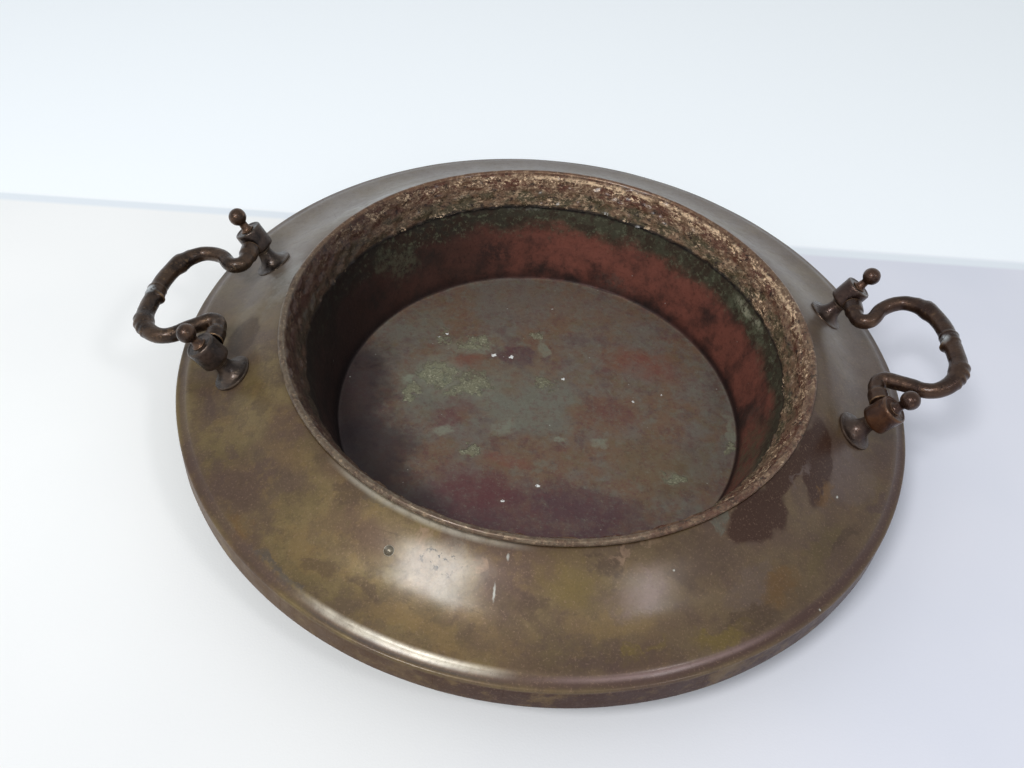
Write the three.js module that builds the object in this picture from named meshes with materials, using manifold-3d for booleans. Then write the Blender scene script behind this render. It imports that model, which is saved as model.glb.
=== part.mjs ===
// Charcoal brazier: a copper fire pan hung inside a wide spun brass brim, with a
// hinged cast bail handle between two turned posts on each side.
// Millimetres, +Z up. The origin is the centre of the pan's flat resting face.
// The two handles lie towards -X (left) and +X (right).

import * as THREE from 'three';
import { mergeVertices } from 'three/addons/utils/BufferGeometryUtils.js';
import Module from 'manifold-3d';

const wasm = await Module();
wasm.setup();

// ---------------------------------------------------------------- driving sizes

const GAP = 0.3; // left between neighbours that touch

// Main sizes: each ring is set out from the one inside it.
const PAN_FLOOR_RADIUS = 148.6;
const PAN_FLARE = 16.0; // from the floor's edge out to the neck's lower edge
const BRIM_WIDTH = 85.4; // from the neck's lower edge out to the lip
const NECK_EDGE_HEIGHT = 63.6;
const LIP_DROP = 9.8; // the lip's depth under the neck's lower edge
const SKIRT_HEIGHT = 20.6; // from the hem up to the lip

const NECK_EDGE_RADIUS = PAN_FLOOR_RADIUS + PAN_FLARE;
const LIP_RADIUS = NECK_EDGE_RADIUS + BRIM_WIDTH;
const LIP_HEIGHT = NECK_EDGE_HEIGHT - LIP_DROP;
const HEM_BOTTOM = LIP_HEIGHT - SKIRT_HEIGHT;

// Brim: spun sheet, from the fold under the neck's bead out to the rolled hem.
const BRIM_SHEET = 1.4;
const FOLD_SLOPE = 17; // degrees of fall where the top leaves the fold
const LIP_ROUND = 1.8;
const COVE_WIDTH = 7.7; // from the crease out to the lip
const COVE_DROP = 2.8;
const COVE_START_SLOPE = 42;
const COVE_END_SLOPE = 12;
const CREASE_SLOPE = 13;
const POST_SET_IN = 30.7; // from the crease in to the circle of the post feet
const POST_RISE = 10.7; // from the crease up to that circle
const POST_CIRCLE_SLOPE = 31.5;
const SKIRT_FLARE = 0.4; // the skirt's foot stands out this much past the lip
const HEM_ROUND = 3.4; // outer radius of the roll round the wire
const HEM_WRAP = 215; // degrees of sheet round the wire

// Neck ring: collar that leans inwards going down, with a bead at its top.
const NECK_ANGLE = 64; // degrees from the horizontal
const NECK_LENGTH = 26.6;
const NECK_THICKNESS = 1.8;
const BEAD_ROUND = 2.4;

// Fire pan: flat floor and a wall that tapers out to the neck.
const PAN_SHEET = 1.5;
const PAN_CORNER_ROUND = 3.0;
const PAN_LAP = 15.0; // how far the pan's edge runs up behind the neck
const FLANGE_LAP = 7.0; // how much of that lap the brim's own flange covers
const FOLD_ROUND = 2.2; // fold between the flange and the top of the brim

// Rivets through neck, pan and brim flange.
const RIVET_COUNT = 8;
const RIVET_SHANK_RADIUS = 2.0;
const RIVET_SUNK_RADIUS = 3.4;
const RIVET_SUNK_DEPTH = 1.2;
const RIVET_DOME_RADIUS = 4.0;
const RIVET_DOME_HEIGHT = 2.2;

// Posts, leaning outwards with the brim. Heights run along the post from the brim.
const POST_HALF_SPACING = 56.6; // from the handle's middle to each post
const POST_LEAN = 31.7; // degrees from upright
const POST_SPLAY = 10; // degrees that the two leans of a pair turn apart
const FOOT_RADIUS = 13.6;
const FOOT_EDGE = 1.4;
const FOOT_HEIGHT = 13.8;
const FOOT_NECK_RADIUS = 5.2;
const BLOCK_RADIUS = 9.8;
const BLOCK_BOTTOM_RADIUS = 6.4;
const BLOCK_CHAMFER = 1.0;
const BLOCK_BOTTOM_CHAMFER = 1.7; // height of the slope under the block
const BLOCK_HEIGHT = 18.2;
const STUD_RADIUS = 2.5;
const STUD_TAIL = 1.6; // stud showing past its nut
const FOOT_COLLAR = 0.6; // the foot's top stands out this much from its neck
const FINIAL_FLARE_RADIUS = 4.8;
const FINIAL_NECK_RADIUS = 2.9;
const FINIAL_NECK_HEIGHT = 5.4;
const BALL_RADIUS = 6.2;
const SPIGOT_RADIUS = 1.8;
const SPIGOT_FLOOR = 1.6; // metal left between the spigot's hole and the bore
const WASHER_RADIUS = 7.0;
const WASHER_THICKNESS = 1.5;
const NUT_SIDES = 6;
const NUT_ACROSS_CORNERS = 11.5;
const NUT_HEIGHT = 4.4;
const UNDERSIDE_GAP = 1.0; // a flat washer under the curved sheet

// Handles: one cast bail each.
const TENON_RADIUS = 4.0;
const TENON_PAST_CENTRE = 3.5; // tenon's end past the middle of the block
const STUB_RADIUS = 6.6;
const STUB_LENGTH = 7.5;
const ELBOW_RADIUS = 6.4; // of the bend's middle line
const ELBOW_TURN = 140; // degrees
const ELBOW_MIDDLE = 28.8; // the bends come this near the handle's middle
const ROD_RADIUS = 5.2;
const ELBOW_ROD_RADIUS = 5.4;
const BAR_RADIUS = 5.9;
const CORNER_RADIUS = 6.9;
const KNUCKLE_RADIUS = 6.9;
// Places on the loop's middle line, as [outwards, along the hinge]. The rod swells
// at the first three.
const BACK_CORNER = [46.6, 29.6];
const KNUCKLE = [53.4, -2.5];
const FRONT_CORNER = [51.6, -31.0];
const LOOP_LINE = [
  [17.2, 38.0], [25.0, 41.4], [33.0, 41.4], [40.5, 37.2], BACK_CORNER,
  [50.6, 20.0], [52.8, 9.0], KNUCKLE, [53.8, -13.0], [53.4, -23.0],
  FRONT_CORNER, [47.4, -37.8], [41.4, -42.4], [34.5, -44.2], [27.6, -42.4],
  [21.4, -37.6],
];
const KNUCKLE_WIDTH = 3.5; // half the length of each swelling
const CORNER_WIDTH = 5.0;
const BAR_STARTS = 32; // the rod thickens between these places, outwards
const BAR_FULL = 50;
const ELBOW_FADE = 12; // the elbow's thickness is lost over this length
const STUB_TAPER = 4.0;
const LEFT_RAISE = -6; // degrees of each handle over the horizontal at rest
const RIGHT_RAISE = 20;

// Fineness of the round surfaces.
const BODY_SEGMENTS = 48;
const WIRE_SIDES = 6;
const POST_SEGMENTS = 16;
const SMALL_SEGMENTS = 12;
const RIVET_SEGMENTS = 8;
const ROD_SIDES = 10;
const ROD_RINGS = 46;

// ---------------------------------------------------------------- colours

const finish = (color, roughness, metalness = 0.9) =>
  new THREE.MeshStandardMaterial({ color, roughness, metalness });
const AGED_BRASS = finish(0x6b5836, 0.42);
const CRUSTED_BRASS = finish(0x7a6444, 0.85, 0.4);
const BURNT_COPPER = finish(0x5b3a33, 0.6, 0.7);
const DARK_BRONZE = finish(0x4b3a2e, 0.4);
const OLD_IRON = finish(0x3a3532, 0.7, 0.8);
const OLD_COPPER = finish(0x6a4030, 0.5);

// ---------------------------------------------------------------- small helpers

const point = (x, y) => new THREE.Vector2(x, y);
const radians = THREE.MathUtils.degToRad;
const cosine = (degrees) => Math.cos(radians(degrees));
const sine = (degrees) => Math.sin(radians(degrees));

// Points of an arc, by its angles in degrees.
function arcPoints(centre, radius, from, to, steps) {
  const points = [];
  for (let i = 0; i <= steps; i += 1) {
    const angle = from + ((to - from) * i) / steps;
    points.push(point(centre.x + radius * cosine(angle), centre.y + radius * sine(angle)));
  }
  return points;
}

// A smooth line from a to b that leaves and arrives at the given falls (degrees).
function fallingCurve(a, fallA, b, fallB, steps) {
  const reach = a.distanceTo(b) / 3;
  const leave = point(a.x + reach * cosine(fallA), a.y - reach * sine(fallA));
  const arrive = point(b.x - reach * cosine(fallB), b.y + reach * sine(fallB));
  return new THREE.CubicBezierCurve(a, leave, arrive, b).getPoints(steps);
}

// Points of a trumpet-shaped flare: flat at its wide foot, upright at its neck.
function flarePoints(footRadius, neckRadius, bottom, top, steps) {
  const points = [];
  for (let i = 0; i <= steps; i += 1) {
    const angle = (90 * i) / steps;
    points.push(point(
      footRadius - (footRadius - neckRadius) * sine(angle),
      bottom + (top - bottom) * (1 - cosine(angle)),
    ));
  }
  return points;
}

// The same line moved to its right-hand side, with its corners kept.
function beside(line, distance) {
  return line.map((here, i) => {
    const before = line[Math.max(i - 1, 0)];
    const after = line[Math.min(i + 1, line.length - 1)];
    const arriving = here.clone().sub(i > 0 ? before : after).multiplyScalar(i > 0 ? 1 : -1).normalize();
    const leaving = after.clone().sub(here);
    if (leaving.length() > 0) leaving.normalize();
    else leaving.copy(arriving);
    const middle = arriving.clone().add(leaving).normalize();
    const reach = distance / middle.dot(arriving);
    return point(here.x + middle.y * reach, here.y - middle.x * reach);
  });
}

// Closed outline of a sheet whose shown face is the given line.
const sheetOutline = (face, thickness) => [...face, ...beside(face, thickness).reverse()];

// Solid of revolution about Z of an outline in (radius, height).
function turned(outline, segments) {
  const closed = [...outline];
  const onAxis = closed[0].x === 0 && closed[closed.length - 1].x === 0;
  if (THREE.ShapeUtils.area(closed) < 0) closed.reverse();
  if (!onAxis) closed.push(closed[0].clone());
  return new THREE.LatheGeometry(closed, segments).rotateX(Math.PI / 2);
}

function toSolid(geometry) {
  const bare = geometry.clone();
  bare.deleteAttribute('normal');
  bare.deleteAttribute('uv');
  const merged = mergeVertices(bare, 1e-4);
  return new wasm.Manifold(new wasm.Mesh({
    numProp: 3,
    vertProperties: new Float32Array(merged.attributes.position.array),
    triVerts: new Uint32Array(merged.index.array),
  }));
}

function toGeometry(solid) {
  const mesh = solid.getMesh();
  const geometry = new THREE.BufferGeometry();
  geometry.setAttribute('position', new THREE.BufferAttribute(mesh.vertProperties, 3));
  geometry.setIndex(new THREE.BufferAttribute(mesh.triVerts, 1));
  return geometry;
}

// The geometry less every cutter.
function cut(geometry, cutters) {
  let solid = toSolid(geometry);
  for (const cutter of cutters) solid = solid.subtract(toSolid(cutter));
  return toGeometry(solid);
}

// A round bar along Z between two heights.
const roundBar = (radius, from, to, segments = SMALL_SEGMENTS) =>
  turned([point(0, from), point(radius, from), point(radius, to), point(0, to)], segments);

const brazier = new THREE.Group();

function addMesh(parent, name, geometry, material) {
  const mesh = new THREE.Mesh(geometry, material.clone());
  mesh.name = name;
  parent.add(mesh);
  return mesh;
}

// ---------------------------------------------------------------- neck ring

// A place on the neck: how far up its slope, and how far out from its inner face.
const neckPoint = (along, out) => point(
  NECK_EDGE_RADIUS + along * cosine(NECK_ANGLE) + out * sine(NECK_ANGLE),
  NECK_EDGE_HEIGHT + along * sine(NECK_ANGLE) - out * cosine(NECK_ANGLE),
);

function neckOutline() {
  const inside = BEAD_ROUND - NECK_THICKNESS;
  const underBead = THREE.MathUtils.radToDeg(Math.asin(inside / BEAD_ROUND));
  // The bead starts square to the inner face and ends on the outer one.
  const start = 90 + NECK_ANGLE;
  const end = NECK_ANGLE - 180 - underBead;
  const bead = arcPoints(neckPoint(NECK_LENGTH, BEAD_ROUND), BEAD_ROUND, start, end, 8);
  return [neckPoint(0, 0), ...bead, neckPoint(0, NECK_THICKNESS)];
}

// ---------------------------------------------------------------- fire pan

const LAP_FACE = NECK_THICKNESS + GAP; // out from the neck's inner face
const LAP_START = -0.8; // the wall meets the lap just under the neck's edge

function panFace() {
  const corner = point(PAN_FLOOR_RADIUS - PAN_CORNER_ROUND, PAN_SHEET + PAN_CORNER_ROUND);
  const wallTop = neckPoint(LAP_START, LAP_FACE);
  const lean = THREE.MathUtils.radToDeg(Math.atan2(wallTop.x - PAN_FLOOR_RADIUS, wallTop.y - corner.y));
  return [
    point(0, PAN_SHEET),
    ...arcPoints(corner, PAN_CORNER_ROUND, -90, -lean, 3),
    wallTop,
    neckPoint(PAN_LAP, LAP_FACE),
  ];
}

// ---------------------------------------------------------------- brim

const FLANGE_FACE = LAP_FACE + PAN_SHEET + GAP;
const CREASE = point(LIP_RADIUS - COVE_WIDTH, LIP_HEIGHT + COVE_DROP);
const POST_CIRCLE = point(CREASE.x - POST_SET_IN, CREASE.y + POST_RISE);
const HEM_CENTRE = point(LIP_RADIUS + SKIRT_FLARE - HEM_ROUND, HEM_BOTTOM + HEM_ROUND);

// Top of the flange: the fold over it stays just below the bead.
function foldTop() {
  const beadBottom = neckPoint(NECK_LENGTH, BEAD_ROUND).y - BEAD_ROUND;
  const foldHeight = beadBottom - GAP - FOLD_ROUND + FOLD_ROUND * cosine(NECK_ANGLE);
  const atZero = neckPoint(0, FLANGE_FACE).y;
  return neckPoint((foldHeight - atZero) / sine(NECK_ANGLE), FLANGE_FACE);
}

function foldLine() {
  const flangeTop = foldTop();
  const centre = point(
    flangeTop.x + FOLD_ROUND * sine(NECK_ANGLE),
    flangeTop.y - FOLD_ROUND * cosine(NECK_ANGLE),
  );
  return arcPoints(centre, FOLD_ROUND, 90 + NECK_ANGLE, 90 - FOLD_SLOPE, 4);
}

// The shown top of the brim, from the end of the fold to the lip.
function slopeLine() {
  const foldEnd = foldLine().pop();
  const lipTop = point(LIP_RADIUS - LIP_ROUND, LIP_HEIGHT);
  return [
    ...fallingCurve(foldEnd, FOLD_SLOPE, POST_CIRCLE, POST_CIRCLE_SLOPE, 4),
    ...fallingCurve(POST_CIRCLE, POST_CIRCLE_SLOPE, CREASE, CREASE_SLOPE, 3).slice(1),
    ...fallingCurve(CREASE, COVE_START_SLOPE, lipTop, COVE_END_SLOPE, 3).slice(1),
  ];
}

function brimFace() {
  const lipCentre = point(LIP_RADIUS - LIP_ROUND, LIP_HEIGHT - LIP_ROUND);
  return [
    neckPoint(PAN_LAP - FLANGE_LAP, FLANGE_FACE),
    ...foldLine().slice(0, -1),
    ...slopeLine(),
    ...arcPoints(lipCentre, LIP_ROUND, 45, 0, 1),
    ...arcPoints(HEM_CENTRE, HEM_ROUND, 0, -HEM_WRAP, 7),
  ];
}

// ---------------------------------------------------------------- rivets

// Outline of a rivet along Z: sunk head at 0, domed head past the last sheet.
function rivetOutline(extra) {
  const grip = FLANGE_FACE + BRIM_SHEET + GAP;
  return [
    point(0, -extra),
    point(RIVET_SUNK_RADIUS + extra, -extra),
    point(RIVET_SHANK_RADIUS + extra, RIVET_SUNK_DEPTH),
    point(RIVET_SHANK_RADIUS + extra, grip),
    point(RIVET_DOME_RADIUS, grip),
    point(RIVET_DOME_RADIUS * cosine(45), grip + RIVET_DOME_HEIGHT * sine(45)),
    point(0, grip + RIVET_DOME_HEIGHT),
  ];
}

function placeRivet(object, index) {
  const middleOfLap = PAN_LAP - FLANGE_LAP / 2;
  const start = neckPoint(middleOfLap, 0);
  const turn = ((index + 0.5) * 2 * Math.PI) / RIVET_COUNT;
  object.rotation.set(0, radians(90 + 90 - NECK_ANGLE), turn, 'ZYX');
  object.position.set(start.x * Math.cos(turn), start.x * Math.sin(turn), start.y);
  object.updateMatrix();
  return object;
}

const rivetHoles = [];
for (let i = 0; i < RIVET_COUNT; i += 1) {
  const place = placeRivet(new THREE.Object3D(), i);
  rivetHoles.push(turned(rivetOutline(GAP), RIVET_SEGMENTS).applyMatrix4(place.matrix));
}

// ---------------------------------------------------------------- posts

// How far out along X the feet stand.
const footReach = Math.sqrt(POST_CIRCLE.x ** 2 - POST_HALF_SPACING ** 2);

// Puts an object on a post's axis, its +Z along the post.
function placePost(object, side, end) {
  const lean = Math.atan2(end * sine(POST_SPLAY), side * cosine(POST_SPLAY));
  object.rotation.set(0, radians(POST_LEAN), lean, 'ZYX');
  object.position.set(side * footReach, end * POST_HALF_SPACING, POST_CIRCLE.y);
  object.updateMatrix();
  return object;
}

const BLOCK_BOTTOM = FOOT_HEIGHT + GAP;
const BLOCK_TOP = BLOCK_BOTTOM + BLOCK_HEIGHT;

// Middle of a block and of its bore; the hinge runs through it along Y.
const PIVOT_HEIGHT = BLOCK_BOTTOM + BLOCK_HEIGHT / 2;
const PIVOT = new THREE.Vector3(
  footReach + PIVOT_HEIGHT * sine(POST_LEAN) * cosine(POST_SPLAY),
  POST_HALF_SPACING + PIVOT_HEIGHT * sine(POST_LEAN) * sine(POST_SPLAY),
  POST_CIRCLE.y + PIVOT_HEIGHT * cosine(POST_LEAN),
);

const SPIGOT_HOLE_BOTTOM = PIVOT_HEIGHT + TENON_RADIUS + GAP + SPIGOT_FLOOR;
const WASHER_TOP = -(BRIM_SHEET + UNDERSIDE_GAP);
const NUT_TOP = WASHER_TOP - WASHER_THICKNESS - GAP;
const STUD_END = NUT_TOP - NUT_HEIGHT - STUD_TAIL;
const STUD_HOLE_RADIUS = STUD_RADIUS + GAP;

// Everything the brim's sheet fills below its top face, with the gap added.
function brimClearance(segments) {
  const top = beside(slopeLine(), -GAP);
  const last = top[top.length - 1];
  return turned([...top, point(last.x, HEM_BOTTOM), point(top[0].x, HEM_BOTTOM)], segments);
}

function footGeometry(place) {
  const below = -2 * FOOT_EDGE; // trimmed to the brim's face afterwards
  const geometry = turned([
    point(STUD_HOLE_RADIUS, below),
    point(FOOT_RADIUS, below),
    ...flarePoints(FOOT_RADIUS, FOOT_NECK_RADIUS, FOOT_EDGE, FOOT_HEIGHT - FOOT_COLLAR, 4),
    point(FOOT_NECK_RADIUS + FOOT_COLLAR, FOOT_HEIGHT),
    point(STUD_HOLE_RADIUS, FOOT_HEIGHT),
  ], POST_SEGMENTS);
  const brim = brimClearance(BODY_SEGMENTS).applyMatrix4(place.matrix.clone().invert());
  return cut(geometry, [brim]);
}

// Turned block with its stud, bored from its inner side for the handle.
function blockGeometry(place, end) {
  const body = turned([
    point(0, STUD_END),
    point(STUD_RADIUS, STUD_END),
    point(STUD_RADIUS, BLOCK_BOTTOM),
    point(BLOCK_BOTTOM_RADIUS, BLOCK_BOTTOM),
    point(BLOCK_RADIUS, BLOCK_BOTTOM + BLOCK_BOTTOM_CHAMFER),
    point(BLOCK_RADIUS, BLOCK_TOP - BLOCK_CHAMFER),
    point(BLOCK_RADIUS - BLOCK_CHAMFER, BLOCK_TOP),
    point(0, BLOCK_TOP),
  ], POST_SEGMENTS);
  const spigotHole = roundBar(SPIGOT_RADIUS + GAP, SPIGOT_HOLE_BOTTOM, BLOCK_TOP + GAP);
  // The bore runs from clear of the block on its inner side to past its middle.
  const inner = end * (PIVOT.y - 2 * BLOCK_RADIUS);
  const deep = end * (PIVOT.y + TENON_PAST_CENTRE + GAP);
  const bore = roundBar(TENON_RADIUS + GAP, Math.min(inner, deep), Math.max(inner, deep))
    .rotateX(-Math.PI / 2)
    .translate(place.position.x > 0 ? PIVOT.x : -PIVOT.x, 0, PIVOT.z)
    .applyMatrix4(place.matrix.clone().invert());
  return cut(body, [spigotHole, bore]);
}

function finialGeometry() {
  const base = BLOCK_TOP + GAP;
  const neckTop = base + FINIAL_NECK_HEIGHT;
  const neckInside = Math.sqrt(BALL_RADIUS ** 2 - FINIAL_NECK_RADIUS ** 2);
  const ball = point(0, neckTop + neckInside);
  const ballStart = THREE.MathUtils.radToDeg(Math.atan2(-neckInside, FINIAL_NECK_RADIUS));
  return turned([
    point(0, SPIGOT_HOLE_BOTTOM + GAP),
    point(SPIGOT_RADIUS, SPIGOT_HOLE_BOTTOM + GAP),
    point(SPIGOT_RADIUS, base),
    ...flarePoints(FINIAL_FLARE_RADIUS, FINIAL_NECK_RADIUS, base, neckTop, 2),
    ...arcPoints(ball, BALL_RADIUS, ballStart, 60, 5).slice(1),
    point(0, ball.y + BALL_RADIUS),
  ], SMALL_SEGMENTS);
}

function washerGeometry() {
  const bottom = WASHER_TOP - WASHER_THICKNESS;
  return turned([
    point(STUD_HOLE_RADIUS, bottom),
    point(WASHER_RADIUS, bottom),
    point(WASHER_RADIUS, WASHER_TOP),
    point(STUD_HOLE_RADIUS, WASHER_TOP),
  ], SMALL_SEGMENTS);
}

function nutGeometry() {
  const bottom = NUT_TOP - NUT_HEIGHT;
  const hexagon = roundBar(NUT_ACROSS_CORNERS / 2, bottom, NUT_TOP, NUT_SIDES);
  return cut(hexagon, [roundBar(STUD_HOLE_RADIUS, bottom - 1, NUT_TOP + 1)]);
}

const POSTS = [
  { name: 'left_front', side: -1, end: -1 },
  { name: 'left_back', side: -1, end: 1 },
  { name: 'right_front', side: 1, end: -1 },
  { name: 'right_back', side: 1, end: 1 },
];

const studHoles = POSTS.map(({ side, end }) => {
  const place = placePost(new THREE.Object3D(), side, end);
  return roundBar(STUD_HOLE_RADIUS, -2 * BRIM_SHEET, 2 * BRIM_SHEET).applyMatrix4(place.matrix);
});

for (const { name, side, end } of POSTS) {
  const post = placePost(new THREE.Group(), side, end);
  addMesh(post, `post_foot_${name}`, footGeometry(post), DARK_BRONZE);
  addMesh(post, `pivot_block_${name}`, blockGeometry(post, end), DARK_BRONZE);
  addMesh(post, `finial_${name}`, finialGeometry(), DARK_BRONZE);
  addMesh(post, `stud_washer_${name}`, washerGeometry(), OLD_IRON);
  addMesh(post, `stud_nut_${name}`, nutGeometry(), OLD_IRON);
  brazier.add(post);
}

// ---------------------------------------------------------------- sheet pieces

const neckSheet = cut(turned(neckOutline(), BODY_SEGMENTS), rivetHoles);
addMesh(brazier, 'neck_ring', neckSheet, CRUSTED_BRASS);

const panSheet = cut(turned(sheetOutline(panFace(), PAN_SHEET), BODY_SEGMENTS), rivetHoles);
addMesh(brazier, 'fire_pan', panSheet, BURNT_COPPER);

const brimSheet = turned(sheetOutline(brimFace(), BRIM_SHEET), BODY_SEGMENTS);
addMesh(brazier, 'brim_shell', cut(brimSheet, [...rivetHoles, ...studHoles]), AGED_BRASS);

const wireRadius = HEM_ROUND - BRIM_SHEET - GAP;
const wireRing = arcPoints(HEM_CENTRE, wireRadius, 0, 360, WIRE_SIDES).slice(1);
addMesh(brazier, 'rim_wire', turned(wireRing, BODY_SEGMENTS), OLD_IRON);

for (let i = 0; i < RIVET_COUNT; i += 1) {
  const rivet = addMesh(brazier, `pan_rivet_${i + 1}`, turned(rivetOutline(0), RIVET_SEGMENTS), OLD_COPPER);
  placeRivet(rivet, i);
}

// ---------------------------------------------------------------- handles

// The stub stops clear of the block, whose side leans by the post's own lean.
const sideLean = Math.asin(sine(POST_LEAN) * sine(POST_SPLAY));
const STUB_END = PIVOT.y - BLOCK_RADIUS / Math.cos(sideLean) - STUB_RADIUS * Math.tan(sideLean) - GAP;
const TENON_END = PIVOT.y + TENON_PAST_CENTRE;

// Middle line of the handle in (outwards, along the hinge), back post to front.
function handleLine() {
  const elbow = (sign) => arcPoints(
    point(ELBOW_RADIUS, sign * (ELBOW_MIDDLE + ELBOW_RADIUS)), ELBOW_RADIUS,
    sign * 180, sign * (180 + ELBOW_TURN), 4,
  );
  return [
    point(0, TENON_END),
    point(0, STUB_END),
    ...elbow(1),
    ...LOOP_LINE.map(([outwards, along]) => point(outwards, along)),
    ...elbow(-1).reverse(),
    point(0, -STUB_END),
    point(0, -TENON_END),
  ];
}

// Solid rod round a flat middle line, with a radius for each place on it.
function rodGeometry(rings) {
  const positions = [];
  const index = [];
  rings.forEach(({ centre, tangent, radius }) => {
    for (let k = 0; k < ROD_SIDES; k += 1) {
      const angle = (2 * Math.PI * k) / ROD_SIDES;
      const sideways = radius * Math.cos(angle);
      positions.push(
        centre.x + tangent.y * sideways,
        centre.y - tangent.x * sideways,
        radius * Math.sin(angle),
      );
    }
  });
  for (let i = 0; i + 1 < rings.length; i += 1) {
    for (let k = 0; k < ROD_SIDES; k += 1) {
      const a = i * ROD_SIDES + k;
      const b = i * ROD_SIDES + ((k + 1) % ROD_SIDES);
      index.push(a, a + ROD_SIDES, b, b, a + ROD_SIDES, b + ROD_SIDES);
    }
  }
  for (const [ring, flip] of [[0, false], [rings.length - 1, true]]) {
    const { centre } = rings[ring];
    const hub = positions.length / 3;
    positions.push(centre.x, centre.y, 0);
    for (let k = 0; k < ROD_SIDES; k += 1) {
      const a = ring * ROD_SIDES + k;
      const b = ring * ROD_SIDES + ((k + 1) % ROD_SIDES);
      index.push(hub, flip ? b : a, flip ? a : b);
    }
  }
  const geometry = new THREE.BufferGeometry();
  geometry.setAttribute('position', new THREE.Float32BufferAttribute(positions, 3));
  geometry.setIndex(index);
  return geometry;
}

// Radius of the loop: a slim rod, thicker along the outer bar, with a swelling at
// the knuckle and at each corner.
function loopRadius(here) {
  const knuckle = point(...KNUCKLE);
  const corners = [point(...BACK_CORNER), point(...FRONT_CORNER)];
  const bump = (middle, width) => Math.exp(-((here.distanceTo(middle) / width) ** 2));
  const bar = THREE.MathUtils.smoothstep(here.x, BAR_STARTS, BAR_FULL);
  const elbow = 1 - THREE.MathUtils.smoothstep(here.x, ELBOW_RADIUS, ELBOW_RADIUS + ELBOW_FADE);
  const plain = ROD_RADIUS + bar * (BAR_RADIUS - ROD_RADIUS) + elbow * (ELBOW_ROD_RADIUS - ROD_RADIUS);
  const atCorner = Math.max(...corners.map((corner) => bump(corner, CORNER_WIDTH)));
  const swell = (KNUCKLE_RADIUS - BAR_RADIUS) * bump(knuckle, KNUCKLE_WIDTH)
    + (CORNER_RADIUS - BAR_RADIUS) * atCorner;
  return plain + swell;
}

function handleGeometry(mirror) {
  const line = handleLine().map((p) => new THREE.Vector3(p.x, p.y, 0));
  const loop = new THREE.CatmullRomCurve3(line.slice(1, -1), false, 'centripetal');
  const straight = (y, radius) => ({
    centre: point(0, y), tangent: point(0, -1), radius,
  });
  const stubInner = STUB_END - STUB_LENGTH;
  const rings = [straight(TENON_END, TENON_RADIUS), straight(STUB_END, TENON_RADIUS)];
  for (let i = 0; i <= ROD_RINGS; i += 1) {
    const share = i / ROD_RINGS;
    const centre = loop.getPointAt(share);
    const tangent = loop.getTangentAt(share);
    const flat = point(centre.x, centre.y);
    const onStub = THREE.MathUtils.smoothstep(Math.abs(centre.y), stubInner - STUB_TAPER, stubInner);
    const stub = centre.x < ELBOW_RADIUS ? onStub : 0;
    const radius = loopRadius(flat) * (1 - stub) + STUB_RADIUS * stub;
    rings.push({ centre: flat, tangent: point(tangent.x, tangent.y).normalize(), radius });
  }
  rings.push(straight(-STUB_END, TENON_RADIUS), straight(-TENON_END, TENON_RADIUS));
  const geometry = rodGeometry(rings);
  // The left handle is turned half round, so it is drawn the other way up first
  // to keep the same corner at the front.
  return mirror ? geometry.rotateX(Math.PI) : geometry;
}

const HANDLES = [
  { name: 'handle_left', side: -1, raise: LEFT_RAISE },
  { name: 'handle_right', side: 1, raise: RIGHT_RAISE },
];

for (const { name, side, raise } of HANDLES) {
  const hinge = new THREE.Group();
  hinge.position.set(side * PIVOT.x, 0, PIVOT.z);
  hinge.rotation.z = side > 0 ? 0 : Math.PI;
  const handle = addMesh(hinge, name, handleGeometry(side < 0), DARK_BRONZE);
  handle.rotation.y = -radians(raise);
  brazier.add(hinge);
}

export default brazier;
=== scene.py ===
"""Charcoal brazier: fine meshes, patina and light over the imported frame.

Lengths are in millimetres in the row frame until a mesh is made, then in metres.
"""
import math

import bmesh
import bpy
from mathutils import Matrix, Vector, noise


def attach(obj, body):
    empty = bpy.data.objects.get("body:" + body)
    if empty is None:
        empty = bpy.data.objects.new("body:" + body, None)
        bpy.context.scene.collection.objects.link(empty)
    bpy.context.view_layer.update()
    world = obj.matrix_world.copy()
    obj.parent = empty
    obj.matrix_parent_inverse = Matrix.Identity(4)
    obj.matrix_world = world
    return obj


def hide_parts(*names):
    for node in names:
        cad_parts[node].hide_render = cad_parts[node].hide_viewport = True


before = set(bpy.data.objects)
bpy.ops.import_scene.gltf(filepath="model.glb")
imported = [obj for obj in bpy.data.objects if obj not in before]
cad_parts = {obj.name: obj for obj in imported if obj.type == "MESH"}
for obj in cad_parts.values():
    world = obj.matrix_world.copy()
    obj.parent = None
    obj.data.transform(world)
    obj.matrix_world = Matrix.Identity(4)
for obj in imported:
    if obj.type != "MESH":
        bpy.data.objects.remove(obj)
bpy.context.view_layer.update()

MM = 0.001  # metres in a millimetre
BODY = "brazier"

# ---- sizes, as in the frame

GAP = 0.3
PAN_FLOOR_RADIUS = 148.6
PAN_FLARE = 16.0
BRIM_WIDTH = 85.4
NECK_EDGE_HEIGHT = 63.6
LIP_DROP = 9.8
SKIRT_HEIGHT = 20.6
NECK_EDGE_RADIUS = PAN_FLOOR_RADIUS + PAN_FLARE
LIP_RADIUS = NECK_EDGE_RADIUS + BRIM_WIDTH
LIP_HEIGHT = NECK_EDGE_HEIGHT - LIP_DROP
HEM_BOTTOM = LIP_HEIGHT - SKIRT_HEIGHT

BRIM_SHEET = 1.4
FOLD_SLOPE = 17
LIP_ROUND = 1.8
COVE_WIDTH = 7.7
COVE_DROP = 2.8
COVE_START_SLOPE = 42
COVE_END_SLOPE = 12
CREASE_SLOPE = 13
POST_SET_IN = 30.7
POST_RISE = 10.7
POST_CIRCLE_SLOPE = 31.5
SKIRT_FLARE = 0.4
HEM_ROUND = 3.4
HEM_WRAP = 215
CREASE = (LIP_RADIUS - COVE_WIDTH, LIP_HEIGHT + COVE_DROP)
POST_CIRCLE = (CREASE[0] - POST_SET_IN, CREASE[1] + POST_RISE)

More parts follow.
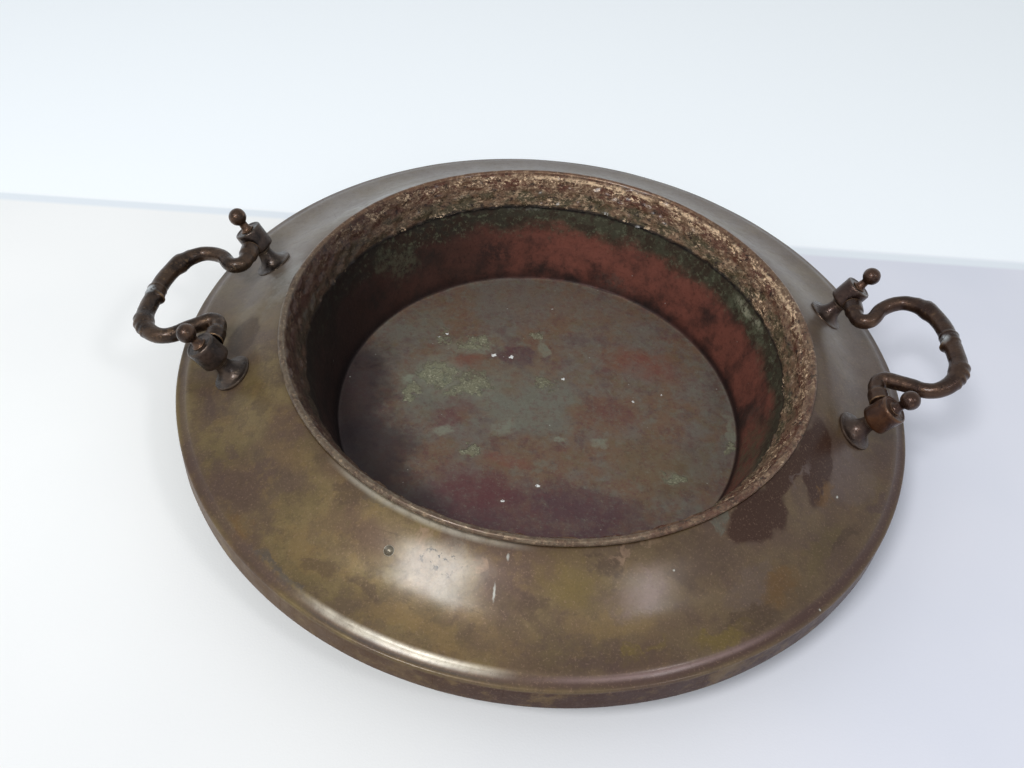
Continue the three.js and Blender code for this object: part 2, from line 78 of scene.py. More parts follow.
NECK_ANGLE = 64
NECK_LENGTH = 26.6
NECK_THICKNESS = 1.8
BEAD_ROUND = 2.4
PAN_SHEET = 1.5
PAN_CORNER_ROUND = 3.0
PAN_LAP = 15.0
FLANGE_LAP = 7.0
FOLD_ROUND = 2.2
LAP_FACE = NECK_THICKNESS + GAP
FLANGE_FACE = LAP_FACE + PAN_SHEET + GAP

RIVET_COUNT = 8
RIVET_SHANK_RADIUS = 2.0
RIVET_SUNK_RADIUS = 3.4
RIVET_SUNK_DEPTH = 1.2
RIVET_DOME_RADIUS = 4.0
RIVET_DOME_HEIGHT = 2.2

POST_HALF_SPACING = 56.6
POST_LEAN = 31.7
POST_SPLAY = 10
FOOT_RADIUS = 13.6
FOOT_EDGE = 1.4
FOOT_HEIGHT = 13.8
FOOT_COLLAR = 0.6
FOOT_NECK_RADIUS = 5.2
BLOCK_RADIUS = 9.8
BLOCK_BOTTOM_RADIUS = 6.4
BLOCK_CHAMFER = 1.0
BLOCK_BOTTOM_CHAMFER = 1.7
BLOCK_HEIGHT = 18.2
BLOCK_BOTTOM = FOOT_HEIGHT + GAP
BLOCK_TOP = BLOCK_BOTTOM + BLOCK_HEIGHT
PIVOT_HEIGHT = BLOCK_BOTTOM + BLOCK_HEIGHT / 2
STUD_RADIUS = 2.5
STUD_TAIL = 1.6
FINIAL_FLARE_RADIUS = 4.8
FINIAL_NECK_RADIUS = 2.9
FINIAL_NECK_HEIGHT = 5.4
BALL_RADIUS = 6.2
WASHER_RADIUS = 7.0
WASHER_THICKNESS = 1.5
NUT_SIDES = 6
NUT_ACROSS_CORNERS = 11.5
NUT_HEIGHT = 4.4
UNDERSIDE_GAP = 1.0

TENON_RADIUS = 4.0
TENON_PAST_CENTRE = 3.5
STUB_RADIUS = 6.6
STUB_LENGTH = 7.5
STUB_TAPER = 4.0
ELBOW_RADIUS = 6.4
ELBOW_TURN = 140
ELBOW_MIDDLE = 28.8
ELBOW_FADE = 12
ROD_RADIUS = 5.2
ELBOW_ROD_RADIUS = 5.4
BAR_RADIUS = 5.9
BAR_STARTS = 32
BAR_FULL = 50
BACK_CORNER = (46.6, 29.6)
KNUCKLE = (53.4, -2.5)
FRONT_CORNER = (51.6, -31.0)
LOOP_LINE = [
    (17.2, 38.0), (25.0, 41.4), (33.0, 41.4), (40.5, 37.2), BACK_CORNER,
    (50.6, 20.0), (52.8, 9.0), KNUCKLE, (53.8, -13.0), (53.4, -23.0),
    FRONT_CORNER, (47.4, -37.8), (41.4, -42.4), (34.5, -44.2), (27.6, -42.4),
    (21.4, -37.6),
]
LEFT_RAISE = -6
RIGHT_RAISE = 20

# ---- small helpers


def cosine(degrees):
    return math.cos(math.radians(degrees))


def sine(degrees):
    return math.sin(math.radians(degrees))


def smoothstep(value, low, high):
    share = min(max((value - low) / (high - low), 0.0), 1.0)
    return share * share * (3 - 2 * share)


def arc(centre, radius, start, end, steps):
    """Points of an arc, by its angles in degrees."""
    points = []
    for i in range(steps + 1):
        angle = start + (end - start) * i / steps
        points.append((centre[0] + radius * cosine(angle), centre[1] + radius * sine(angle)))
    return points


def falling_curve(a, fall_a, b, fall_b, steps):
    """A smooth line from a to b that leaves and arrives at the given falls in degrees."""
    reach = math.dist(a, b) / 3
    leave = (a[0] + reach * cosine(fall_a), a[1] - reach * sine(fall_a))
    arrive = (b[0] - reach * cosine(fall_b), b[1] + reach * sine(fall_b))
    points = []
    for i in range(steps + 1):
        t = i / steps
        weights = ((1 - t) ** 3, 3 * t * (1 - t) ** 2, 3 * t * t * (1 - t), t ** 3)
        corners = (a, leave, arrive, b)
        points.append(tuple(sum(w * p[k] for w, p in zip(weights, corners)) for k in (0, 1)))
    return points


def flare(foot_radius, neck_radius, bottom, top, steps):
    """Points of a trumpet: flat at its wide foot, upright at its neck."""
    points = []
    for i in range(steps + 1):
        angle = 90 * i / steps
        points.append((
            foot_radius - (foot_radius - neck_radius) * sine(angle),
            bottom + (top - bottom) * (1 - cosine(angle)),
        ))
    return points


def beside(line, distance):
    """The same line moved to its right-hand side."""
    moved = []
    for i, here in enumerate(line):
        before = line[max(i - 1, 0)]
        after = line[min(i + 1, len(line) - 1)]
        along = Vector((after[0] - before[0], after[1] - before[1])).normalized()
        moved.append((here[0] + along.y * distance, here[1] - along.x * distance))
    return moved


def stepped(line, step):
    """The line with points added so that none of its stretches is longer than step."""
    points = [line[0]]
    for a, b in zip(line, line[1:]):
        count = max(1, math.ceil(math.dist(a, b) / step))
        for i in range(1, count + 1):
            points.append((a[0] + (b[0] - a[0]) * i / count, a[1] + (b[1] - a[1]) * i / count))
    return points


def lumps(place, size, seed=0.0, octaves=3):
    """Smooth noise of about -1 to 1 whose lumps are size across."""
    return noise.fractal(Vector(place) / size + Vector((seed, seed, seed)), 1.0, 2.0, octaves)


SHARP_ANGLE = math.radians(38)


def new_object(name, mesh):
    obj = bpy.data.objects.new(name, mesh)
    bpy.context.scene.collection.objects.link(obj)
    return obj


def mesh_from(name, points, faces, place=None):
    """A shaded mesh object from points in millimetres, set in place by a matrix."""
    place = place or Matrix.Identity(4)
    mesh = bpy.data.meshes.new(name)
    mesh.from_pydata([place @ Vector(p) * MM for p in points], [], faces)
    mesh.update()
    mesh.shade_smooth()
    mesh.set_sharp_from_angle(angle=SHARP_ANGLE)
    return new_object(name, mesh)


def outline_normals(outline):
    """Outward directions at the points of a closed counter-clockwise outline."""
    count = len(outline)
    normals = []
    for i, here in enumerate(outline):
        before = Vector(outline[i - 1])
        after = Vector(outline[(i + 1) % count])
        here = Vector(here)
        along = (here - before).normalized() + (after - here).normalized()
        normals.append(Vector((along.y, -along.x)).normalized())
    return normals


def lathe(name, outline, segments, relief=None, place=None):
    """Solid of revolution about Z of a closed outline in (radius, height).

    relief(place, normal, radius, height) gives how far each point moves outwards.
    """
    area = sum(a[0] * b[1] - b[0] * a[1] for a, b in zip(outline, outline[1:] + outline[:1]))
    if area < 0:
        outline = outline[::-1]
    normals = outline_normals(outline)
    points = []
    rings = []
    for (radius, height), out in zip(outline, normals):
        if radius < 1e-6:
            rings.append([len(points)] * segments)
            lift = relief((0, 0, height), out, 0.0, height) if relief else 0.0
            points.append((0, 0, height + lift * math.copysign(1, out.y)))
            continue
        ring = []
        for j in range(segments):
            turn = 2 * math.pi * j / segments
            at = (radius * math.cos(turn), radius * math.sin(turn), height)
            lift = relief(at, out, radius, height) if relief else 0.0
            reach = radius + lift * out.x
            ring.append(len(points))
            points.append((reach * math.cos(turn), reach * math.sin(turn), height + lift * out.y))
        rings.append(ring)
    faces = []
    for i, ring in enumerate(rings):
        other = rings[(i + 1) % len(rings)]
        if ring[0] == ring[1] and other[0] == other[1]:
            continue
        for j in range(segments):
            k = (j + 1) % segments
            corners = [ring[j], ring[k], other[k], other[j]]
            faces.append(list(dict.fromkeys(corners)))
    return mesh_from(name, points, faces, place)


def dress(obj, body, material, slot, *nodes):
    """Gives a piece its body and material, and hides the nodes it stands for. slot is not used."""
    obj.data.materials.clear()
    obj.data.materials.append(material)
    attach(obj, body)
    if nodes:
        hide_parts(*nodes)


def make_lathe(name, outline, segments, relief, place, finish, slot, *nodes):
    """A solid of revolution of the brazier's fixed part, dressed."""
    dress(lathe(name, outline, segments, relief, place), BODY, finish, slot, *nodes)


# ---- shader helpers


def srgb(red, green, blue):
    """A colour read from a screen, 0 to 255, as Blender's linear values."""
    def linear(value):
        value /= 255
        return value / 12.92 if value <= 0.04045 else ((value + 0.055) / 1.055) ** 2.4
    return (linear(red), linear(green), linear(blue), 1.0)


SOCKETS = {
    "specular": "Specular IOR Level",
    "coat": "Coat Weight",
    "coat_roughness": "Coat Roughness",
}


class Shader:
    """A material that is built by short calls. Places and sizes are in millimetres.

    color is the colour so far: lay, mottle and stain put tints over it.
    """

    def __init__(self, name, color=None):
        self.material = bpy.data.materials.new(name)
        self.material.use_nodes = True
        self.tree = self.material.node_tree
        self.tree.nodes.clear()
        coordinates = self.tree.nodes.new("ShaderNodeTexCoord")
        self.place = self.vector("MULTIPLY", coordinates.outputs["Object"], (1 / MM,) * 3)
        self.flat = self.vector("MULTIPLY", self.place, (1, 1, 0))
        self.radius = self.vector("LENGTH", self.flat)
        self.x, self.y, self.z = self.node("ShaderNodeSeparateXYZ", self.place).outputs
        self.color = color

    def node(self, kind, *inputs, **settings):
        made = self.tree.nodes.new(kind)
        for key, value in settings.items():
            setattr(made, key, value)
        for socket, value in zip(made.inputs, inputs):
            self.put(socket, value)
        return made

    def put(self, socket, value):
        if value is None:
            return
        if isinstance(value, bpy.types.NodeSocket):
            self.tree.links.new(value, socket)
        else:
            socket.default_value = value

    def vector(self, operation, a, b=None):
        made = self.node("ShaderNodeVectorMath", a, b, operation=operation)
        return made.outputs["Value" if operation in ("LENGTH", "DOT_PRODUCT") else "Vector"]

    def math(self, operation, first, *others, clamp=False):
        """The operation on the first two values, then on what it gave and the next one."""
        for other in others:
            first = self.node("ShaderNodeMath", first, other, operation=operation, use_clamp=clamp).outputs[0]
        return first

    def add(self, *values):
        return self.math("ADD", *values)

    def times(self, *values):
        return self.math("MULTIPLY", *values)

    def most(self, *values):
        return self.math("MAXIMUM", *values)

    def texture(self, kind, size, at, shift, **values):
        """Outputs of a texture with lumps of the given size, moved by shift."""
        made = self.node(kind)
        self.put(made.inputs["Vector"], self.vector("ADD", at or self.place, shift))
        for key, value in {"Scale": 1 / size, **values}.items():
            made.inputs[key].default_value = value
        return made.outputs

    def noise(self, size, detail, roughness, seed=0.0, at=None):
        """Noise of 0 to 1."""
        shift = (seed * 37.0, seed * 11.0, seed * 23.0)
        made = self.texture("ShaderNodeTexNoise", size, at, shift, Detail=detail, Roughness=roughness)
        return made["Fac"]

    def warped(self, amount, size, seed=0.0, at=None):
        """The place moved about by noise, so that what is drawn there has uneven edges."""
        made = self.texture("ShaderNodeTexNoise", size, at, (seed * 13.0,) * 3, Detail=5.0)
        swing = self.vector("SUBTRACT", made["Color"], (0.5, 0.5, 0.5))
        return self.vector("ADD", at or self.place, self.vector("MULTIPLY", swing, (amount * 2,) * 3))

    def ramp(self, value, low, high, to_low=0.0, to_high=1.0):
        """A smooth step from low to high, or from high to low where low is the larger."""
        made = self.node("ShaderNodeMapRange", value, low, high, to_low, to_high)
        made.interpolation_type = "SMOOTHSTEP"
        return made.outputs["Result"]

    def band(self, value, low, high, soft):
        """1 between low and high, fading over soft on both sides."""
        rise = self.ramp(value, low - soft, low + soft)
        return self.times(rise, self.ramp(value, high + soft, high - soft))

    def turned(self, at, degrees):
        made = self.node("ShaderNodeVectorRotate", at, rotation_type="Z_AXIS")
        made.inputs["Angle"].default_value = math.radians(degrees)
        return made.outputs[0]

    def patch(self, at, x, y, along, across, turn=0.0, soft=0.5):
        """1 inside an oval seen from above, fading to 0 at its edge."""
        from_middle = self.turned(self.vector("SUBTRACT", at, (x, y, 0.0)), -turn)
        scaled = self.vector("MULTIPLY", from_middle, (1 / along, 1 / across, 0.0))
        return self.ramp(self.vector("LENGTH", scaled), 1.0, 1.0 - soft)

    def spot(self, at, middle, reach, soft=0.6):
        """1 inside an egg about a place in space, fading to 0 at its surface."""
        from_middle = self.vector("SUBTRACT", at, middle)
        scaled = self.vector("MULTIPLY", from_middle, tuple(1 / r for r in reach))
        return self.ramp(self.vector("LENGTH", scaled), 1.0, 1.0 - soft)

    def towards(self, angle):
        """From -1 to 1: how far a place lies towards that direction round the axis."""
        ahead = self.vector("DOT_PRODUCT", self.flat, (cosine(angle), sine(angle), 0.0))
        return self.math("DIVIDE", ahead, self.most(self.radius, 1.0))

    def upward(self):
        """From -1 to 1: how far the surface looks up."""
        geometry = self.node("ShaderNodeNewGeometry")
        return self.node("ShaderNodeSeparateXYZ", geometry.outputs["Normal"]).outputs[2]

    def mix(self, share, a, b):
        made = self.node("ShaderNodeMix", data_type="RGBA")
        for key, value in {"Factor": share, "A": a, "B": b}.items():
            self.put(made.inputs[key], value)
        return made.outputs["Result"]

    def lay(self, tint, *shares):
        """Lays a tint over the colour so far, as strongly as the product of the shares."""
        self.color = self.mix(self.times(*shares), self.color, tint)

    def mottle(self, layers, at=None):
        """Lays tints by noise: tint, strength, the values it grows between, the noise's own."""
        for tint, strength, low, high, *grain in layers:
            self.lay(tint, self.ramp(self.noise(*grain, at=at), low, high, 0.0, strength))

    def stain(self, at, stains, *shares):
        """Lays tints in ovals: tint, strength and then what patch takes."""
        for tint, strength, *oval in stains:
            self.lay(tint, self.patch(at, *oval), strength, *shares)

    def bump(self, height, distance, strength=1.0, normal=None):
        """A relief whose height of 0 to 1 is distance millimetres deep."""
        made = self.node("ShaderNodeBump")
        made.inputs["Strength"].default_value = strength
        made.inputs["Distance"].default_value = distance * MM
        self.put(made.inputs["Height"], height)
        self.put(made.inputs["Normal"], normal)
        return made.outputs["Normal"]

    def finish(self, roughness, metallic, normal, **others):
        """The surface itself. A value that is the same all over goes straight on its socket."""
        surface = self.tree.nodes.new("ShaderNodeBsdfPrincipled")
        named = {"Base Color": self.color, "Roughness": roughness, "Metallic": metallic, "Normal": normal}
        named.update({SOCKETS[key]: value for key, value in others.items()})
        for key, value in named.items():
            self.put(surface.inputs[key], value)
        out = self.tree.nodes.new("ShaderNodeOutputMaterial")
        self.tree.links.new(surface.outputs[0], out.inputs["Surface"])
        return self.material


# ---- brim material

OLIVE = srgb(114, 96, 62)
OLIVE_DARK = srgb(90, 75, 46)
BROWN = srgb(94, 73, 54)
BROWN_DARK = srgb(74, 57, 43)
YELLOW_OLIVE = srgb(106, 88, 44)
YELLOW_BROWN = srgb(118, 95, 58)
PURPLE_BROWN = srgb(80, 61, 54)
PURPLE_GREY = srgb(96, 80, 74)
RED_BROWN = srgb(58, 34, 22)
AMBER = srgb(104, 72, 32)
TAN = srgb(146, 118, 96)
GREY_GREEN = srgb(94, 92, 80)
SLATE = srgb(72, 68, 66)
COPPER_BROWN = srgb(88, 62, 34)
WINE = srgb(58, 32, 26)
WINE_LIGHT = srgb(70, 46, 42)
PALE_FLECK = srgb(196, 196, 186)
BACK_SHEEN_GREY = srgb(122, 114, 107)
MARK_DARK = srgb(36, 29, 23)
FRONT_HIGHLIGHT_PALE = srgb(150, 144, 128)
RIGHT_HIGHLIGHT_PINK = srgb(124, 100, 94)
EDGE_HIGHLIGHT_PALE = srgb(206, 198, 180)
COVE_DARK_REFLECTION = srgb(62, 58, 56)
COVE_HIGHLIGHT_PINK = srgb(168, 142, 138)
SHOULDER_SHEEN = srgb(158, 156, 150)
RAW_BROWN = srgb(66, 52, 42)
RAW_OLIVE = srgb(80, 80, 62)
RAW_GREEN = srgb(104, 112, 92)

# Clouds, blots and grain as mottle takes them.
BRIM_CLOUDS = [
    (BROWN, 1.0, 0.40, 0.60, 58, 3, 0.5, 1),
    (OLIVE_DARK, 0.50, 0.46, 0.62, 30, 7, 0.66, 2),
    (PURPLE_BROWN, 0.50, 0.48, 0.62, 38, 7, 0.66, 4),
    (BROWN_DARK, 0.38, 0.50, 0.64, 12, 8, 0.72, 3),
    (YELLOW_BROWN, 0.42, 0.50, 0.64, 15, 8, 0.70, 5),
]
BRIM_GRAIN = [
    (BROWN_DARK, 0.24, 0.54, 0.74, 4.5, 6, 0.7, 11),
    (TAN, 0.32, 0.54, 0.74, 1.3, 3, 0.6, 12),
    (BROWN_DARK, 0.32, 0.44, 0.28, 1.3, 3, 0.6, 12),
]
# Stains on the brim as seen from above, some of them painted highlights and sheens: colour,
# strength, x, y, half length and half width, turn of the length in degrees, softness of the edge.
BRIM_STAINS = [
    (YELLOW_OLIVE, 0.62, 20, -196, 26, 19, 0, 0.8),
    (YELLOW_BROWN, 0.60, -62, -219, 56, 8, 163, 0.7),
    (YELLOW_BROWN, 0.55, -126, -184, 30, 9, 144, 0.7),
    (BROWN_DARK, 0.55, 90, -172, 29, 13, 28, 0.45),
    (PURPLE_GREY, 0.50, 195, -94, 32, 17, 66, 0.5),
    (PURPLE_GREY, 0.45, 122, -180, 22, 12, 34, 0.6),
    # A dark patch just behind the left front post.
    (BROWN_DARK, 0.75, -205, -24, 20, 13, 84, 0.3),
    (RED_BROWN, 0.95, 128, -142, 27, 14, 42, 0.22),
    (RED_BROWN, 0.95, 146, -113, 27, 8, 52, 0.25),
    (RED_BROWN, 1.00, 170, -92, 33, 11, 80, 0.22),
    (AMBER, 0.60, 174, -113, 14, 8, 62, 0.5),
    (PURPLE_GREY, 0.70, 158, -107, 17, 2.2, 75, 0.7),
    (GREY_GREEN, 0.75, 106, -149, 9, 6, 35, 0.5),
    (AMBER, 0.48, 142, -178, 20, 11, 40, 0.8),
    (BROWN_DARK, 0.75, 126, -196, 18, 10, 33, 0.4),
    (YELLOW_OLIVE, 0.80, 103, -211, 24, 8, 26, 0.5),
    (OLIVE_DARK, 0.60, 172, -148, 26, 12, 48, 0.6),
    (YELLOW_BROWN, 0.50, 40, -214, 40, 9, 12, 0.7),
    (YELLOW_OLIVE, 0.70, 59, -227, 12, 6, 15, 0.5),
    (BROWN_DARK, 0.75, 190, -139, 17, 6, 54, 0.45),
    (PURPLE_BROWN, 0.80, 214, -108, 13, 6, 64, 0.6),
    (PURPLE_BROWN, 0.60, 222, -72, 16, 7, 72, 0.6),
    (BROWN_DARK, 0.80, 36, -184, 9, 7, 20, 0.6),
    (BROWN_DARK, 0.60, -2, -212, 8, 13, 0, 0.6),
    (PURPLE_BROWN, 0.60, 44, -232, 34, 5, 12, 0.6),
    # A painted highlight on the fold under the bead.
    (TAN, 0.50, 55, -174, 24, 3.5, 18, 0.6),
    (PURPLE_BROWN, 0.65, -214, -80, 18, 8, 112, 0.6),
    (BROWN_DARK, 0.45, -175, -92, 11, 9, 60, 0.6),
    (PURPLE_BROWN, 0.60, -189, -116, 13, 7, 120, 0.6),
    (AMBER, 0.45, -174, -164, 15, 6, 133, 0.8),
    (BROWN_DARK, 0.60, -107, -149, 15, 7, 144, 0.5),
    (SLATE, 0.35, -92, -158, 14, 4, 149, 0.6),
    (BROWN_DARK, 0.55, -118, -188, 11, 8, 140, 0.5),
    (BROWN_DARK, 0.70, -95, -202, 17, 8, 155, 0.6),
    (SLATE, 0.60, -146, -194, 24, 5, 143, 0.6),
    # A painted highlight on the front left shoulder.
    (FRONT_HIGHLIGHT_PALE, 0.32, -56, -194, 38, 18, 165, 0.9),
    # Painted grey-white sheen on the left and back shoulder.
    (SHOULDER_SHEEN, 0.70, -187, 26, 40, 12, 82, 0.9),
    (SHOULDER_SHEEN, 0.65, -138, 128, 62, 9, 46, 0.9),
    (TAN, 0.50, -62, -177, 11, 5, 160, 0.7),
    (TAN, 0.45, -34, -195, 7, 3.5, 150, 0.7),
    # A painted pinkish highlight on the front right shoulder.
    (RIGHT_HIGHLIGHT_PINK, 0.50, 60, -194, 24, 15, 15, 0.9),
    (YELLOW_BROWN, 0.45, -150, -128, 34, 12, 128, 0.8),
    (OLIVE_DARK, 0.50, -70, -206, 30, 9, 160, 0.8),
    (PURPLE_BROWN, 0.45, -196, -128, 30, 7, 122, 0.7),
]
FIRM_EDGE = 0.3  # stains up to this softness keep a clear, unbroken outline
# Small pale flecks, in the same terms.
BRIM_FLECKS = [
    (PALE_FLECK, 0.60, -21.5, -204, 1.0, 5.5, 0, 0.8),
    (PALE_FLECK, 0.50, -15.7, -187, 1.2, 2.6, 0, 0.8),
    (PALE_FLECK, 0.80, 183.7, -111.2, 1.5, 0.9, 60, 0.7),
    (PALE_FLECK, 0.70, 164.7, -185.2, 0.9, 0.9, 0, 0.7),
    (PALE_FLECK, 0.60, 76.9, -182.1, 0.8, 0.8, 0, 0.7),
]
FOLD_HIGHLIGHT_RADII = (184.5, 181.0)  # radii where the painted highlight on the fold begins and is full
SPIN_MARKS = 3.1  # radians of the turning marks in a millimetre of radius
SCRATCHED_PLACE = (-54, -190, 22, 9, 165, 0.7)
HAIRLINES = ((17, 60), (-38, 90), (71, 75))  # their directions and lengths


def brim_tones(s):
    """Clouds of olive, brown and purple, a purple-brown tint towards the right front, and a painted grey
    sheen on the back slopes.
    """
    s.mottle(BRIM_CLOUDS)
    s.lay(PURPLE_BROWN, s.ramp(s.towards(-30), 0.1, 0.95), 0.50)
    cloudy = s.ramp(s.noise(30, 7, 0.66, seed=2), 0.35, 0.6, 0.85, 0.55)
    # A painted grey sheen at the back, made uneven by the clouds.
    s.lay(BACK_SHEEN_GREY, s.ramp(s.y, -90, 80), cloudy, s.ramp(s.towards(-5), 0.1, 0.9, 1.0, 0.5))


def brim_edge_tones(s):
    """The cove is purplish, with painted highlights on the crease and the fold and a painted dark reflection
    in the cove; the skirt is coppery to the left and wine red to the right.
    """
    crease = CREASE[0]
    cove = s.band(s.radius, crease + 0.5, LIP_RADIUS - 2.5, 1.5)
    s.lay(PURPLE_BROWN, cove, 0.55)
    s.lay(WINE_LIGHT, cove, s.ramp(s.towards(-40), 0.4, 0.95, 0.0, 0.6))
    # At the front left the crease carries a painted highlight, above a painted dark reflection.
    run = s.ramp(s.towards(-107), 0.958, 0.996)
    streaky = s.ramp(s.noise(14, 6, 0.66, seed=16), 0.34, 0.56, 0.55, 1.0)
    s.lay(COVE_DARK_REFLECTION, s.band(s.radius, crease + 4.4, crease + 5.6, 1.0), run, 0.7)
    s.lay(EDGE_HIGHLIGHT_PALE, s.band(s.radius, crease - 1.0, crease + 2.6, 1.6), run, streaky, 0.70)
    # A fainter painted pink highlight to the right, and a painted highlight on the fold under the bead as
    # well.
    pink = s.band(s.radius, crease + 0.5, crease + 2.5, 1.4)
    s.lay(COVE_HIGHLIGHT_PINK, pink, s.ramp(s.towards(-72), 0.94, 0.995), 0.40)
    s.lay(EDGE_HIGHLIGHT_PALE, s.ramp(s.radius, *FOLD_HIGHLIGHT_RADII), s.ramp(s.towards(-112), 0.92, 0.99), streaky, 0.50)
    skirt = s.mix(s.ramp(s.towards(-20), -0.35, 0.45), COPPER_BROWN, WINE)
    skirt = s.mix(s.ramp(s.noise(18, 5, 0.65, seed=7), 0.5, 0.68, 0.0, 0.6), skirt, YELLOW_BROWN)
    s.lay(skirt, s.ramp(s.z, LIP_HEIGHT - 1.0, LIP_HEIGHT - 3.0), 0.92)


def brim_underside(s):
    """Lays raw brown and green where the sheet faces down, and gives back that share."""
    down = s.ramp(s.upward(), -0.1, -0.5)
    raw = s.mix(s.ramp(s.noise(20, 5, 0.65, seed=9), 0.42, 0.6), RAW_BROWN, RAW_OLIVE)
    s.lay(s.mix(s.ramp(s.noise(6, 6, 0.7, seed=10), 0.54, 0.66, 0.0, 0.6), raw, RAW_GREEN), down)
    return down


def hair_scratches(s):
    hairs = []
    for turn, length in HAIRLINES:
        drawn = s.vector("MULTIPLY", s.turned(s.place, turn), (1 / length, 1.0, 0.02))
        hairs.append(s.ramp(s.noise(1.0, 2, 0.5, seed=turn * 0.1, at=drawn), 0.70, 0.74))
    return s.most(*hairs)


def brim_material():
    s = Shader("aged_brim_brass", OLIVE)
    steady = s.warped(3.0, 7.0, seed=2, at=s.warped(8.0, 30.0))
    uneven = s.warped(7.0, 6.0, seed=2, at=s.warped(20.0, 26.0))
    broken = s.ramp(s.noise(8, 7, 0.7, seed=15), 0.36, 0.52, 0.65, 1.0)
    brim_tones(s)
    for stain in BRIM_STAINS:
        if stain[-1] <= FIRM_EDGE:
            s.stain(steady, [stain])
        else:
            s.stain(uneven, [stain], broken)
    brim_edge_tones(s)
    down = brim_underside(s)
    s.mottle(BRIM_GRAIN)
    s.stain(s.warped(0.7, 2.0), BRIM_FLECKS)
    # Marks in the handled place at the front, and hair scratches all over.
    marks = s.times(s.ramp(s.noise(3.6, 3, 0.6, seed=13), 0.60, 0.66), s.patch(steady, *SCRATCHED_PLACE))
    s.lay(MARK_DARK, marks, 0.9)
    hair = hair_scratches(s)
    fine = s.noise(4.5, 6, 0.7, seed=11)
    rough = s.add(s.ramp(s.noise(24, 5, 0.6, seed=2), 0.3, 0.7, 0.42, 0.52),
                  s.ramp(fine, 0.4, 0.7, 0.0, 0.08), s.times(down, 0.2), s.times(hair, 0.12))
    normal = s.bump(s.noise(30, 2, 0.5, seed=8), 0.35, 0.6)
    normal = s.bump(fine, 0.04, 0.7, normal)
    spun = s.node("ShaderNodeMath", s.times(s.radius, SPIN_MARKS), operation="SINE")
    normal = s.bump(spun.outputs[0], 0.003, 0.5, normal)
    normal = s.bump(s.add(s.times(marks, -1.0), s.times(hair, -0.15)), 0.12, 1.0, normal)
    # The upright skirt has lost its gloss, and so has the underside.
    gloss = s.ramp(s.z, LIP_HEIGHT - 3.0, LIP_HEIGHT - 0.5, 0.06, 0.42)
    gloss = s.times(gloss, s.ramp(down, 0.0, 1.0, 1.0, 0.1))
    return s.finish(rough, 0.45, normal, specular=0.2, coat=gloss, coat_roughness=0.25)


# ---- neck material

NECK_DARK = srgb(42, 28, 23)
NECK_RED = srgb(94, 54, 40)
NECK_BROWN = srgb(122, 94, 72)
NECK_OLIVE = srgb(78, 72, 50)
NECK_TAN = srgb(182, 154, 124)
NECK_FLAKE_GLINT = srgb(246, 214, 176)
SEAM_DARK = srgb(24, 18, 16)
BEAD_GREY = srgb(112, 98, 80)
BEAD_COPPER = srgb(110, 80, 60)
BEAD_DARK = srgb(78, 60, 48)
NECK_STRETCH = (0.55, 0.55, 1.0)  # the crust runs along the ring
BEAD_TOP = NECK_EDGE_HEIGHT + 22.8
BEAD_INNER_EDGE = (177.4, 178.6)
HEAP = (155 * NECK_STRETCH[0], 62 * NECK_STRETCH[1], NECK_EDGE_HEIGHT + 5)


def neck_bands(s, along):
    """Tan and olive low down, red brown above that, by an uneven height; gives that height."""
    wander = s.times(s.add(s.noise(12, 6, 0.66, seed=9, at=along), -0.5), 16.0)
    height = s.add(s.z, -NECK_EDGE_HEIGHT, wander)
    s.mottle([(NECK_BROWN, 1.0, 0.42, 0.58, 7, 8, 0.72, 1)], along)
    lower = s.mix(s.ramp(s.noise(9, 7, 0.70, seed=5, at=along), 0.44, 0.58), NECK_OLIVE, NECK_BROWN)
    s.lay(lower, s.ramp(height, 9, 14, 0.9, 0.0))
    return height


def neck_bead(s, flaky):
    """The bead is rubbed clean, coppery behind and grey in front, but crusty at the right."""
    bead = s.most(s.ramp(s.z, BEAD_TOP, BEAD_TOP + 1.6), s.ramp(s.radius, *BEAD_INNER_EDGE))
    rubbed = s.mix(s.ramp(s.towards(90), -0.2, 0.8), BEAD_GREY, BEAD_COPPER)
    rubbed = s.mix(s.ramp(s.noise(7, 6, 0.68, seed=7), 0.47, 0.58, 0.0, 0.75), rubbed, BEAD_DARK)
    rubbed = s.mix(s.ramp(s.noise(2.2, 6, 0.7, seed=8), 0.54, 0.62, 0.0, 0.5), rubbed, NECK_TAN)
    clean = s.times(bead, s.ramp(s.towards(-28), 0.55, 0.95, 1.0, 0.25))
    s.lay(rubbed, clean, s.ramp(flaky, 0.40, 0.60, 0.95, 0.65))
    return clean


